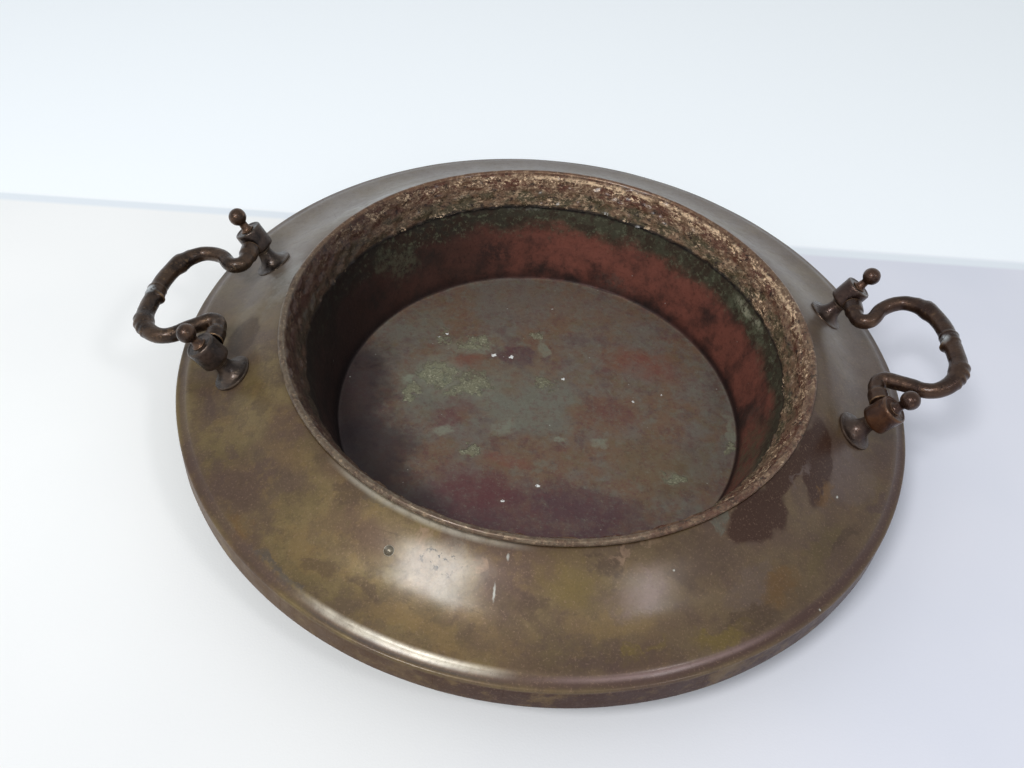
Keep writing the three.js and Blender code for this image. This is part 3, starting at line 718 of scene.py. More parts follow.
def neck_material():
    s = Shader("crusted_neck_brass", NECK_RED)
    along = s.vector("MULTIPLY", s.place, NECK_STRETCH)
    flaky = s.noise(2.4, 7, 0.74, seed=2, at=along)
    fine = s.noise(1.1, 5, 0.70, seed=10, at=along)
    cracks = s.noise(3.0, 8, 0.74, seed=3, at=along)
    height = neck_bands(s, along)
    gilt_side = s.ramp(s.towards(50), -0.75, 0.40)
    patchy = s.ramp(s.noise(16, 6, 0.66, seed=13), 0.42, 0.56, 0.25, 1.0)
    flakes = s.ramp(s.add(s.times(flaky, 0.65), s.times(fine, 0.35)), 0.50, 0.57)
    s.lay(NECK_TAN, flakes, gilt_side, patchy, 0.90)
    s.lay(NECK_DARK, s.ramp(fine, 0.46, 0.36), 0.55)
    s.lay(NECK_DARK, s.ramp(cracks, 0.38, 0.47, 0.95, 0.0))
    # Bright flakes, partly painted glints: thick on a ledge under the bead, and thinly spread below it.
    specks = s.ramp(s.noise(1.7, 6, 0.74, seed=4, at=along), 0.52, 0.58)
    ledge = s.ramp(s.band(height, 16.5, 22.5, 2.0), 0.2, 0.8)
    ledge = s.times(ledge, s.ramp(s.noise(11, 6, 0.68, seed=6), 0.44, 0.54))
    spread = s.ramp(s.noise(5, 7, 0.70, seed=11, at=along), 0.54, 0.64, 0.05, 0.85)
    covered = s.most(ledge, s.times(spread, patchy), s.spot(along, HEAP, (5, 12, 6)))
    s.lay(NECK_FLAKE_GLINT, specks, covered, s.ramp(gilt_side, 0.0, 1.0, 0.40, 1.0))
    line = s.times(s.band(s.z, BEAD_TOP - 2.6, BEAD_TOP - 0.4, 0.7), s.ramp(s.towards(52), 0.45, 0.90))
    broken = s.ramp(s.noise(14, 6, 0.66, seed=14), 0.40, 0.54)
    s.lay(NECK_FLAKE_GLINT, line, broken, s.ramp(flaky, 0.40, 0.54, 0.15, 0.90))
    # The left side is darkened, partly soot and partly painted shade. Along the bottom edge runs a dark line
    # with pale flakes in it.
    s.lay(NECK_DARK, s.ramp(s.towards(188), 0.15, 0.95), 0.70)
    s.lay(SEAM_DARK, s.ramp(s.z, NECK_EDGE_HEIGHT + 2.2, NECK_EDGE_HEIGHT + 0.5), 0.85)
    low = s.ramp(s.z, NECK_EDGE_HEIGHT + 3.4, NECK_EDGE_HEIGHT + 0.8)
    s.lay(NECK_FLAKE_GLINT, low, specks, s.ramp(s.noise(12, 5, 0.6, seed=12), 0.54, 0.62), gilt_side)
    clean = neck_bead(s, flaky)
    relief = s.add(s.times(flaky, 0.7), s.times(cracks, 0.8), s.times(fine, 0.4))
    normal = s.bump(s.times(relief, s.ramp(clean, 0.0, 1.0, 1.0, 0.14)), 1.5)
    rough = s.ramp(clean, 0.0, 1.0, 0.60, 0.36)
    return s.finish(rough, 0.45, normal, specular=0.3, coat=0.25, coat_roughness=0.2)


# ---- pan material

FLOOR_GREY = srgb(114, 104, 94)
FLOOR_PURPLE = srgb(90, 66, 68)
FLOOR_MAROON = srgb(104, 62, 62)
FLOOR_RED = srgb(126, 78, 64)
FLOOR_WARM = srgb(118, 94, 76)
FLOOR_OLIVE = srgb(110, 94, 70)
FLOOR_DARK = srgb(54, 44, 46)
BLOOM = srgb(116, 115, 102)
BLOOM_PALE = srgb(138, 141, 122)
CRUST = srgb(136, 134, 108)
CRUST_PALE = srgb(178, 174, 148)
WALL_RED = srgb(124, 74, 62)
WALL_DARK = srgb(58, 42, 38)
WALL_LEFT_SOOT_AND_SHADE = srgb(44, 38, 34)
WALL_GREEN = srgb(66, 66, 52)
WALL_MOSS = srgb(106, 108, 86)
WALL_SLATE = srgb(88, 72, 64)
WALL_BROWN = srgb(58, 42, 34)
WALL_OLIVE = srgb(92, 84, 64)
WALL_PALE = srgb(168, 164, 140)
WALL_WHITE = srgb(150, 150, 140)
SOOT_AND_SHADE = srgb(26, 20, 20)
SPARK = srgb(240, 240, 235)
SEAM_SHADOW_HEIGHTS = (59.6, 61.6)  # heights of the painted shadow under the neck's bottom edge
SPECK_SIZE = 14  # between scattered pale specks
SPECK_SHIFT = (68.0, 116.0, 20.0)

# Clouds, and finer mottling over the stains, as mottle takes them.
FLOOR_CLOUDS = [
    (FLOOR_WARM, 1.0, 0.4, 0.6, 40, 6, 0.66, 1),
    (FLOOR_OLIVE, 0.50, 0.50, 0.62, 16, 8, 0.72, 18),
    (BLOOM, 0.50, 0.50, 0.62, 9, 8, 0.74, 12),
    (FLOOR_PURPLE, 0.45, 0.48, 0.64, 13, 7, 0.68, 2),
]
FLOOR_GRAIN = [
    (FLOOR_MAROON, 0.35, 0.50, 0.64, 6, 8, 0.74, 16),
    (BLOOM, 0.28, 0.52, 0.66, 4, 8, 0.74, 19),
    (BLOOM_PALE, 0.28, 0.56, 0.68, 2.4, 6, 0.7, 17),
]
WALL_CLOUDS = [
    (WALL_RED, 1.0, 0.30, 0.56, 34, 5, 0.62, 8),
    (WALL_DARK, 0.35, 0.48, 0.66, 9, 6, 0.7, 13),
]
# Stains on the floor of the pan, in the same terms as the brim's.
FLOOR_STAINS = [
    (FLOOR_GREY, 0.60, 0, 116, 96, 26, 0, 0.6),
    (BLOOM, 0.55, -98, 78, 38, 18, 48, 0.6),
    (FLOOR_PURPLE, 0.95, 0, -104, 108, 42, 0, 0.5),
    (FLOOR_MAROON, 0.65, -36, -82, 50, 26, -12, 0.8),
    (FLOOR_RED, 0.55, -20, -55, 22, 9, -5, 0.6),
    (FLOOR_OLIVE, 0.60, 86, -46, 44, 34, 0, 0.6),
    (FLOOR_RED, 0.75, 78, 54, 44, 24, -16, 0.8),
    (FLOOR_MAROON, 0.45, 54, -2, 30, 24, 0, 0.9),
    (BLOOM, 0.65, -90, 8, 20, 38, 8, 0.5),
    (FLOOR_MAROON, 0.65, -64, -16, 26, 15, 55, 0.8),
    (FLOOR_RED, 0.65, -56, 40, 26, 11, 30, 0.8),
    (FLOOR_PURPLE, 0.85, -24, 52, 23, 13, -8, 0.4),
    (BLOOM, 0.75, -10, -8, 46, 22, -14, 0.5),
    (BLOOM, 0.60, 10, 14, 28, 15, 0, 0.6),
    (BLOOM_PALE, 0.75, -100, 16, 8, 11, 0, 0.6),
    (BLOOM_PALE, 0.70, -70, -29, 10, 8, 20, 0.6),
    (BLOOM_PALE, 0.50, -26, -22, 14, 8, 20, 0.7),
    (BLOOM_PALE, 0.55, 0, 61, 6, 9, 0, 0.6),
    (BLOOM_PALE, 0.60, 47, -30, 7, 6, 0, 0.6),
    (BLOOM_PALE, 0.60, 16, -32, 6, 3, 0, 0.6),
    (BLOOM_PALE, 0.55, 143, -8, 5, 26, -5, 0.6),
    (BLOOM_PALE, 0.60, 98, -54, 12, 8, 0, 0.8),
    (BLOOM_PALE, 0.70, -78, 26, 26, 30, 10, 0.8),
    (BLOOM_PALE, 0.60, -54, 60, 32, 14, 10, 0.8),
    (BLOOM_PALE, 0.55, -48, 14, 32, 22, 20, 0.8),
    (BLOOM, 0.55, -16, 14, 60, 46, 0, 0.8),
]
# Soot along the left side of the floor, in the same terms.
FLOOR_SHADES = [
    (FLOOR_DARK, 0.95, -146, 0, 46, 82, 4, 0.5),
    (FLOOR_DARK, 0.92, -122, -64, 44, 56, -30, 0.5),
    (FLOOR_DARK, 0.70, -84, -104, 48, 34, -40, 0.7),
]
# Crusts of grains on the floor: x, y, half length, half width, turn, softness.
CRUSTS = [
    (-52, 16, 26, 19, 20, 0.8),
    (-80, 27, 18, 21, 10, 0.8),
    (-53, 65, 20, 12, 10, 0.8),
    (-6, 80, 13, 9, 0, 0.9),
    (-47, -51, 11, 9, 0, 0.9),
    (98, -54, 12, 9, 0, 0.9),
    (142, -24, 7, 12, 0, 0.9),
    (-78, 66, 11, 8, 0, 0.9),
    (4, 24, 16, 10, 0, 0.9),
    (-96, 2, 10, 14, 0, 0.9),
]
# Small bright specks: x, y, radius.
SPARKS = [
    (-37.3, 50.2, 1.8), (-23.9, 49.7, 1.7), (17.4, 31.0, 1.1), (2.8, -74.3, 1.2), (-20.4, -89.8, 1.2),
    (6.2, 110.4, 0.8), (92.6, 23.7, 0.8), (70.9, 13.7, 0.7), (-76.0, 69.0, 1.0), (-82.0, 65.0, 0.8),
]
# Blotches on the wall: colour, strength, middle, reach.
WALL_SPOTS = [
    (WALL_DARK, 0.85, (-46, 148, 24), (22, 14, 16)),
    (WALL_SLATE, 0.60, (56, 142, 12), (24, 14, 9)),
    (WALL_MOSS, 0.55, (-128, 98, 48), (14, 14, 18)),
    (WALL_MOSS, 0.45, (-120, 112, 34), (18, 16, 20)),
    (WALL_MOSS, 0.60, (150, 62, 52), (20, 44, 12)),
    (WALL_SLATE, 0.50, (157, -6, 26), (12, 14, 16)),
    (WALL_OLIVE, 0.75, (146, -52, 28), (22, 48, 36)),
    (WALL_PALE, 0.75, (152, 66, 56), (14, 30, 5)),
    (WALL_WHITE, 0.55, (-22, 164, 60), (26, 12, 4)),
]


def floor_tones(s, uneven, middle, fine):
    """Grey and brown clouds, then the stains, then fine mottling and the soot at the left."""
    s.mottle(FLOOR_CLOUDS)
    s.stain(uneven, FLOOR_STAINS, s.ramp(middle, 0.34, 0.56, 0.55, 1.0))
    s.mottle(FLOOR_GRAIN)
    s.stain(uneven, FLOOR_SHADES, s.ramp(middle, 0.30, 0.60, 1.0, 0.82))
    s.lay(FLOOR_DARK, s.ramp(fine, 0.50, 0.70), 0.30)


def crust_tones(s, uneven):
    """Grainy yellow-green crusts; gives their share and that of their tops."""
    crusted = s.most(*(s.patch(uneven, *spot) for spot in CRUSTS))
    broken = s.ramp(s.add(s.noise(6.0, 8, 0.74, seed=5), s.times(crusted, 0.20)), 0.54, 0.68)
    crust = s.times(s.ramp(crusted, 0.05, 0.45), broken)
    s.lay(CRUST, crust, 0.7)
    tops = s.ramp(s.noise(2.2, 6, 0.72, seed=6), 0.48, 0.60)
    s.lay(CRUST_PALE, crust, tops, 0.8)
    return crust, tops


def wall_tones(s, uneven, fine):
    """A colour of its own: red where the fire kept it clean, mossy above, dark at the left, partly soot and
    partly painted shade.
    """
    s.color = WALL_DARK
    s.mottle(WALL_CLOUDS)
    height = s.add(s.z, s.times(s.add(s.noise(26, 5, 0.6, seed=14), -0.5), 30.0))
    s.lay(WALL_GREEN, s.ramp(height, 39, 52), 0.95)
    # Darker at the left: partly soot, partly painted shade.
    s.lay(WALL_LEFT_SOOT_AND_SHADE, s.ramp(s.towards(160), 0.25, 0.85), 0.75)
    grainy = s.ramp(s.noise(5, 7, 0.72, seed=9), 0.40, 0.56)
    for tint, strength, middle, reach in WALL_SPOTS:
        s.lay(tint, s.spot(uneven, middle, reach), strength, grainy)
    high = s.ramp(height, 34, 50)
    s.lay(WALL_BROWN, s.ramp(s.noise(11, 7, 0.7, seed=18), 0.46, 0.58), high, 0.7)
    s.lay(WALL_MOSS, s.ramp(s.noise(4.0, 8, 0.75, seed=15), 0.53, 0.62), high, 0.60)
    # Darker still towards the left: partly soot, partly painted shade.
    s.lay(SOOT_AND_SHADE, s.ramp(s.towards(190), 0.45, 0.95), 0.75)
    s.lay(SOOT_AND_SHADE, s.ramp(height, 14, 2), 0.45)
    s.lay(SOOT_AND_SHADE, s.ramp(fine, 0.48, 0.68), 0.35)
    # A painted shadow just under the neck's bottom edge.
    s.lay(SOOT_AND_SHADE, s.ramp(s.z, *SEAM_SHADOW_HEIGHTS), s.ramp(s.noise(9, 6, 0.7, seed=19), 0.40, 0.55, 0.4, 0.95))


def pan_material():
    s = Shader("burnt_pan_copper", FLOOR_GREY)
    uneven = s.warped(6.0, 6.0, seed=3, at=s.warped(15.0, 26.0))
    middle = s.noise(13, 7, 0.68, seed=2)
    fine = s.noise(2.8, 8, 0.74, seed=3)
    floor_tones(s, uneven, middle, fine)
    crust, tops = crust_tones(s, uneven)
    floor_color = s.color
    wall_tones(s, uneven, fine)
    on_wall = s.ramp(s.radius, PAN_FLOOR_RADIUS - 2.2, PAN_FLOOR_RADIUS - 0.6)
    s.color = s.mix(on_wall, floor_color, s.color)
    # A dark ring where the floor meets the wall, weaker at the back.
    ring = s.band(s.radius, PAN_FLOOR_RADIUS - 1.6, PAN_FLOOR_RADIUS + 0.8, 1.0)
    s.lay(SOOT_AND_SHADE, ring, s.ramp(s.z, 14, 10), s.ramp(s.towards(100), 0.2, 0.9, 0.8, 0.25))
    scattered = s.texture("ShaderNodeTexVoronoi", SPECK_SIZE, None, SPECK_SHIFT)["Distance"]
    s.lay(PALE_FLECK, s.ramp(scattered, 0.045, 0.025), s.ramp(middle, 0.46, 0.52), 0.6)
    jagged = s.warped(2.0, 1.6, seed=4)
    for x, y, radius in SPARKS:
        s.lay(SPARK, s.patch(jagged, x, y, radius * 1.3, radius, 20, 0.4))
    rough = s.add(s.ramp(middle, 0.35, 0.65, 0.46, 0.60), s.times(crust, 0.2))
    relief = s.add(s.times(fine, 0.35), s.times(crust, s.add(0.5, s.times(tops, 0.6))))
    normal = s.bump(s.noise(16, 4, 0.6, seed=10), 0.6, 0.6)
    normal = s.bump(relief, 0.8, 0.9, normal)
    return s.finish(rough, 0.35, normal, specular=0.2, coat=0.05, coat_roughness=0.3)


# ---- bronze, iron, rivets

HOLLOW_DARK = srgb(20, 15, 14)
RIGHT_SIDE_RED = srgb(76, 50, 42)
BARE_METAL = srgb(188, 190, 190)
IRON_GREY = srgb(52, 48, 46)
IRON_RUST = srgb(92, 60, 44)


def bronze_material(name, dark, base, worn, grey, seed, wear, *bare_places):
    """Cast bronze: dark in its hollows, rubbed on its edges, with a painted grey sheen where it looks up.

    bare_places are places in space where the metal is worn to a pale grey, with their radii.
    """
    s = Shader(name, dark)
    broad = s.noise(14, 4, 0.6, seed)
    blots = s.noise(4.5, 6, 0.68, seed + 2)
    fine = s.noise(1.3, 6, 0.7, seed + 1)
    s.lay(base, s.ramp(broad, 0.38, 0.60))
    s.lay(worn, s.ramp(blots, 0.56, 0.68), 0.45)
    s.lay(dark, s.ramp(blots, 0.46, 0.34), 0.55)
    s.lay(RIGHT_SIDE_RED, s.ramp(s.x, -150, 150, 0.0, 0.35))
    # A painted grey sheen on the faces that look up.
    s.lay(grey, s.ramp(s.upward(), 0.5, 0.95), 0.22)
    edges = s.node("ShaderNodeNewGeometry").outputs["Pointiness"]
    s.lay(worn, s.ramp(edges, 0.52, 0.57), wear)
    s.lay(HOLLOW_DARK, s.ramp(edges, 0.485, 0.43), 0.75)
    for middle, reach in bare_places:
        s.lay(BARE_METAL, s.spot(s.place, middle, (reach,) * 3), s.ramp(blots, 0.34, 0.46))
    pits = s.ramp(s.noise(2.0, 4, 0.6, seed + 4), 0.62, 0.70)
    s.lay(HOLLOW_DARK, pits, 0.6)
    rough = s.add(s.ramp(broad, 0.3, 0.7, 0.25, 0.37), s.ramp(fine, 0.4, 0.7, 0.0, 0.1))
    normal = s.bump(s.noise(4.5, 5, 0.65, seed + 3), 0.7, 0.8)
    normal = s.bump(s.add(fine, s.times(pits, -1.2)), 0.12, 0.9, normal)
    return s.finish(rough, 0.80, normal, specular=0.3, coat=0.22, coat_roughness=0.18)


def iron_material():
    s = Shader("old_iron", IRON_GREY)
    rust = s.noise(5, 6, 0.7, seed=2)
    s.lay(IRON_RUST, s.ramp(rust, 0.4, 0.62))
    normal = s.bump(s.noise(1.4, 6, 0.7, seed=3), 0.15, 0.8)
    return s.finish(s.ramp(rust, 0.3, 0.7, 0.5, 0.8), 0.6, normal)


# Of each bronze: its dark, base and worn tints and the tint of its painted sheen where it looks up, its seed,
# the wear of its edges and its bare places.
BRONZES = {
    "handle_bronze": ((40, 30, 25), (80, 61, 47), (146, 116, 84), (84, 70, 60), 1, 0.6,
                      ((-271, -4, 86), 5.0), ((262, -4, 107), 5.0)),
    "foot_bronze": ((44, 35, 31), (80, 66, 56), (128, 110, 88), (92, 82, 74), 5, 0.2),
    "block_bronze": ((42, 34, 31), (72, 58, 51), (114, 96, 80), (100, 94, 88), 9, 0.35),
    "amber_block_bronze": ((56, 34, 20), (96, 60, 32), (128, 92, 62), (104, 98, 94), 9, 0.4),
    "finial_brass": ((48, 35, 29), (90, 66, 50), (150, 116, 88), (98, 76, 62), 13, 0.4),
    "rivet_copper": ((52, 34, 30), (92, 58, 46), (140, 98, 76), (96, 74, 64), 17, 0.4),
    "plug_solder": ((96, 86, 70), (128, 118, 100), (204, 198, 184), (150, 142, 128), 19, 0.8),
}
BRIM_FINISH = brim_material()
NECK_FINISH = neck_material()
PAN_FINISH = pan_material()
BRONZE_FINISH = {
    name: bronze_material(name, *(srgb(*tint) for tint in row[:4]), *row[4:]) for name, row in BRONZES.items()
}
IRON_FINISH = iron_material()

# ---- sheet pieces


def neck_point(along, out):
    """A place on the neck: how far up its slope, and how far out from its inner face."""
    return (
        NECK_EDGE_RADIUS + along * cosine(NECK_ANGLE) + out * sine(NECK_ANGLE),
        NECK_EDGE_HEIGHT + along * sine(NECK_ANGLE) - out * cosine(NECK_ANGLE),
    )


HEM_CENTRE = (LIP_RADIUS + SKIRT_FLARE - HEM_ROUND, HEM_BOTTOM + HEM_ROUND)


def fold_line():
    bead_bottom = neck_point(NECK_LENGTH, BEAD_ROUND)[1] - BEAD_ROUND
    fold_height = bead_bottom - GAP - FOLD_ROUND + FOLD_ROUND * cosine(NECK_ANGLE)
    at_zero = neck_point(0, FLANGE_FACE)[1]
    top = neck_point((fold_height - at_zero) / sine(NECK_ANGLE), FLANGE_FACE)
    centre = (top[0] + FOLD_ROUND * sine(NECK_ANGLE), top[1] - FOLD_ROUND * cosine(NECK_ANGLE))
    return arc(centre, FOLD_ROUND, 90 + NECK_ANGLE, 90 - FOLD_SLOPE, 8)


def brim_face():
    lip_top = (LIP_RADIUS - LIP_ROUND, LIP_HEIGHT)
    lip_centre = (lip_top[0], lip_top[1] - LIP_ROUND)
    fold = fold_line()
    return [
        neck_point(PAN_LAP - FLANGE_LAP, FLANGE_FACE),
        *fold,
        *falling_curve(fold[-1], FOLD_SLOPE, POST_CIRCLE, POST_CIRCLE_SLOPE, 12)[1:],
        *falling_curve(POST_CIRCLE, POST_CIRCLE_SLOPE, CREASE, CREASE_SLOPE, 12)[1:],
        *falling_curve(CREASE, COVE_START_SLOPE, lip_top, COVE_END_SLOPE, 6)[1:],
        *arc(lip_centre, LIP_ROUND, 72, 0, 4),
        *stepped([(LIP_RADIUS, LIP_HEIGHT - LIP_ROUND), (HEM_CENTRE[0] + HEM_ROUND, HEM_CENTRE[1])], 4)[1:-1],
        *arc(HEM_CENTRE, HEM_ROUND, 0, -HEM_WRAP, 16),
    ]


BRIM_SEGMENTS = 360
WAVE = 0.3  # the sheet's unevenness
DENTS = [(-60, -190, 14, 0.5), (-96, -200, 16, 0.35), (20, -212, 20, 0.4), (96, -196, 18, 0.4),
         (-186, -100, 18, 0.4), (172, -128, 16, 0.4), (150, 150, 20, 0.4), (-140, 160, 20, 0.4)]


def brim_relief(at, normal, radius, height):
    """Broad unevenness and a few shallow dents, never beyond the sheet's own reach."""
    wave = WAVE * lumps(at, 60, 3.0, 2)
    dent = sum(depth * math.exp(-((at[0] - x) ** 2 + (at[1] - y) ** 2) / wide ** 2)
               for x, y, wide, depth in DENTS)
    inside = smoothstep(radius, CREASE[0], LIP_RADIUS)
    upward = 1 if normal.y > 0 else -1
    return (1 - inside) * (wave - dent) * upward - inside * WAVE * 0.5 * (1 + lumps(at, 40, 5.0, 2))


def make_brim():
    face = brim_face()
    outline = face + beside(face, BRIM_SHEET)[::-1]
    make_lathe("brim", outline, BRIM_SEGMENTS, brim_relief, None, BRIM_FINISH, "brim_brass", "brim_shell")


NECK_SEGMENTS = 720
CRUST_HEIGHT = 1.5


def neck_relief(at, normal, radius, height):
    """A rough layered crust on the shown face, and a little unevenness on the bead."""
    bead = smoothstep(height, NECK_EDGE_HEIGHT + 21.5, NECK_EDGE_HEIGHT + 24)
    shown = 1 if normal.x < -0.3 else 0
    drawn = tuple(a * k for a, k in zip(at, NECK_STRETCH))
    layers = smoothstep(lumps(drawn, 6, 1.0, 5), -0.35, 0.5)
    flakes = smoothstep(lumps(drawn, 2.2, 8.0, 3), -0.1, 0.5)
    crust = CRUST_HEIGHT * (0.7 * layers + 0.3 * flakes * layers) * shown * (1 - bead)
    return crust - 0.18 * bead * (1 + lumps(at, 9, 4.0, 3))


def make_neck():
    inside = BEAD_ROUND - NECK_THICKNESS
    under_bead = math.degrees(math.asin(inside / BEAD_ROUND))
    centre = neck_point(NECK_LENGTH, BEAD_ROUND)
    bead = arc(centre, BEAD_ROUND, 90 + NECK_ANGLE, NECK_ANGLE - 180 - under_bead, 18)
    face = stepped([neck_point(0, 0), bead[0]], 1.3)
    outline = face + bead[1:] + [neck_point(0, NECK_THICKNESS)]
    make_lathe("neck", outline, NECK_SEGMENTS, neck_relief, None, NECK_FINISH, "neck_brass", "neck_ring")


PAN_SEGMENTS = 360
PAN_STEP = 5.0


def pan_relief(at, normal, radius, height):
    """Beaten unevenness on the floor and the wall. What stands on the table stays flat."""
    if normal.y < -0.9:
        return 0.0
    if height < PAN_SHEET + 0.5:
        return 0.35 * lumps(at, 34, 2.0, 3) - 0.2 * smoothstep(radius, 130, PAN_FLOOR_RADIUS)
    lap = smoothstep(height, 56, 61)
    return (0.45 * lumps(at, 22, 6.0, 3) * (1 - lap)) * (1 if normal.x < 0 else -1)


def make_pan():
    corner = (PAN_FLOOR_RADIUS - PAN_CORNER_ROUND, PAN_SHEET + PAN_CORNER_ROUND)
    wall_top = neck_point(-0.8, LAP_FACE)
    lean = math.degrees(math.atan2(wall_top[0] - PAN_FLOOR_RADIUS, wall_top[1] - corner[1]))
    rounding = arc(corner, PAN_CORNER_ROUND, -90, -lean, 5)
    face = [
        *stepped([(0, PAN_SHEET), rounding[0]], PAN_STEP),
        *rounding[1:],
        *stepped([rounding[-1], wall_top], PAN_STEP)[1:],
        neck_point(PAN_LAP, LAP_FACE),
    ]
    outline = face + beside(face, PAN_SHEET)[::-1]
    outline[-1] = (0, 0)
    make_lathe("pan", outline, PAN_SEGMENTS, pan_relief, None, PAN_FINISH, "pan_copper", "fire_pan")


def make_rivets():
    grip = FLANGE_FACE + BRIM_SHEET + GAP
    dome = arc((0, grip), 1.0, 0, 90, 8)
    outline = [
        (0, 0),
        (RIVET_SUNK_RADIUS, 0),
        (RIVET_SHANK_RADIUS, RIVET_SUNK_DEPTH),
        (RIVET_SHANK_RADIUS, grip),
        *((RIVET_DOME_RADIUS * x, grip + RIVET_DOME_HEIGHT * (z - grip)) for x, z in dome[:-1]),
        (0, grip + RIVET_DOME_HEIGHT),
    ]
    start = neck_point(PAN_LAP - FLANGE_LAP / 2, 0)
    for i in range(RIVET_COUNT):
        turn = (i + 0.5) * 2 * math.pi / RIVET_COUNT
        place = (Matrix.Rotation(turn, 4, "Z") @ Matrix.Translation((start[0], 0, start[1]))
                 @ Matrix.Rotation(math.radians(180 - NECK_ANGLE), 4, "Y"))
        make_lathe(f"rivet_{i + 1}", outline, 24, None, place,
                   BRONZE_FINISH["rivet_copper"], "rivet_copper", f"pan_rivet_{i + 1}")


def brim_height(radius):
    """Height of the brim's top at a radius, between the fold and the lip."""
    face = [p for p in brim_face() if p[1] > LIP_HEIGHT - 0.5 and p[0] > fold_line()[-1][0]]
    for a, b in zip(face, face[1:]):
        if a[0] <= radius <= b[0]:
            return a[1] + (b[1] - a[1]) * (radius - a[0]) / (b[0] - a[0])
    return POST_CIRCLE[1]


PLUG_AT = (-81.7, -184.6)
PLUG_RADIUS = 3.3


def make_plug():
    """The small ringed bump on the front left of the brim, an old stopped hole."""
    radius = math.hypot(*PLUG_AT)
    turn = math.atan2(PLUG_AT[1], PLUG_AT[0])
    fall = math.atan2(brim_height(radius - 2) - brim_height(radius + 2), 4)
    outline = [(0, -0.6), (PLUG_RADIUS, -0.6), (PLUG_RADIUS, 0.2), (3.0, 0.5), (2.7, 0.4),
               (2.3, 0.75), (1.7, 1.15), (1.0, 1.38), (0, 1.45)]
    place = (Matrix.Rotation(turn, 4, "Z") @ Matrix.Translation((radius, 0, brim_height(radius) - 0.35))
             @ Matrix.Rotation(fall, 4, "Y"))
    make_lathe("brim_plug", outline, 28, None, place, BRONZE_FINISH["plug_solder"], "brim_brass")


# ---- posts

FOOT_REACH = math.sqrt(POST_CIRCLE[0] ** 2 - POST_HALF_SPACING ** 2)
PIVOT = Vector((
    FOOT_REACH + PIVOT_HEIGHT * sine(POST_LEAN) * cosine(POST_SPLAY),
    POST_HALF_SPACING + PIVOT_HEIGHT * sine(POST_LEAN) * sine(POST_SPLAY),
    POST_CIRCLE[1] + PIVOT_HEIGHT * cosine(POST_LEAN),
))
POSTS = [("left_front", -1, -1), ("left_back", -1, 1), ("right_front", 1, -1), ("right_back", 1, 1)]
TURNED_SEGMENTS = 48
TURNED_WAVE = 0.09  # hand-turned and worn, so never quite round


def post_place(side, end):
    azimuth = math.atan2(end * sine(POST_SPLAY), side * cosine(POST_SPLAY))
    foot = (side * FOOT_REACH, end * POST_HALF_SPACING, POST_CIRCLE[1])
    return (Matrix.Translation(foot) @ Matrix.Rotation(azimuth, 4, "Z")
            @ Matrix.Rotation(math.radians(POST_LEAN), 4, "Y"))


def turned_relief(seed):
    def relief(at, normal, radius, height):
        return TURNED_WAVE * (lumps(at, 7, seed, 3) - 0.5)
    return relief


def cut_bore(block, place, side, end):
    """Takes the handle's bore out of a block, from its inner side past its middle."""
    inner = end * (PIVOT.y - 2 * BLOCK_RADIUS)
    deep = end * (PIVOT.y + TENON_PAST_CENTRE + GAP)
    low, high = min(inner, deep), max(inner, deep)
    bore = TENON_RADIUS + GAP
    across = (Matrix.Translation((side * PIVOT.x, 0, PIVOT.z)) @ Matrix.Rotation(-math.pi / 2, 4, "X"))
    cutter = lathe("bore_cutter", [(0, low), (bore, low), (bore, high), (0, high)], 40, None, across)
    cut = block.modifiers.new("bore", "BOOLEAN")
    cut.operation = "DIFFERENCE"
    cut.solver = "EXACT"
    cut.object = cutter
    bpy.context.view_layer.update()
    shaped = bpy.data.meshes.new_from_object(block.evaluated_get(bpy.context.evaluated_depsgraph_get()))
    block.modifiers.clear()
    block.data = shaped
    shaped.set_sharp_from_angle(angle=SHARP_ANGLE)
    bpy.data.objects.remove(cutter)


def make_foot(name, place, seed):
    edge = [(FOOT_RADIUS - 0.3, -1.0), (FOOT_RADIUS, -0.4), (FOOT_RADIUS + 0.05, 0.5),
            (FOOT_RADIUS - 0.15, 1.1), (FOOT_RADIUS - 0.7, FOOT_EDGE)]
    sweep = flare(FOOT_RADIUS - 0.7, FOOT_NECK_RADIUS, FOOT_EDGE, FOOT_HEIGHT - 1.6, 12)[1:]
    collar_radius = FOOT_NECK_RADIUS + FOOT_COLLAR
    collar = [(collar_radius, FOOT_HEIGHT - 1.0), (collar_radius, FOOT_HEIGHT)]
    bore = STUD_RADIUS + GAP
    outline = [(bore, -1.0), *edge, *sweep, *collar, (bore, FOOT_HEIGHT)]
    make_lathe(f"foot_{name}", outline, TURNED_SEGMENTS, turned_relief(seed), place,
               BRONZE_FINISH["foot_bronze"], "foot_bronze", f"post_foot_{name}")


def stud_line(end, top):
    """Side of the threaded stud under a block, as a fine zigzag."""
    pitch = 1.0
    points = []
    height = end
    while height < top:
        points.append((STUD_RADIUS - 0.3, height))
        points.append((STUD_RADIUS, height + pitch / 2))
        height += pitch
    return points


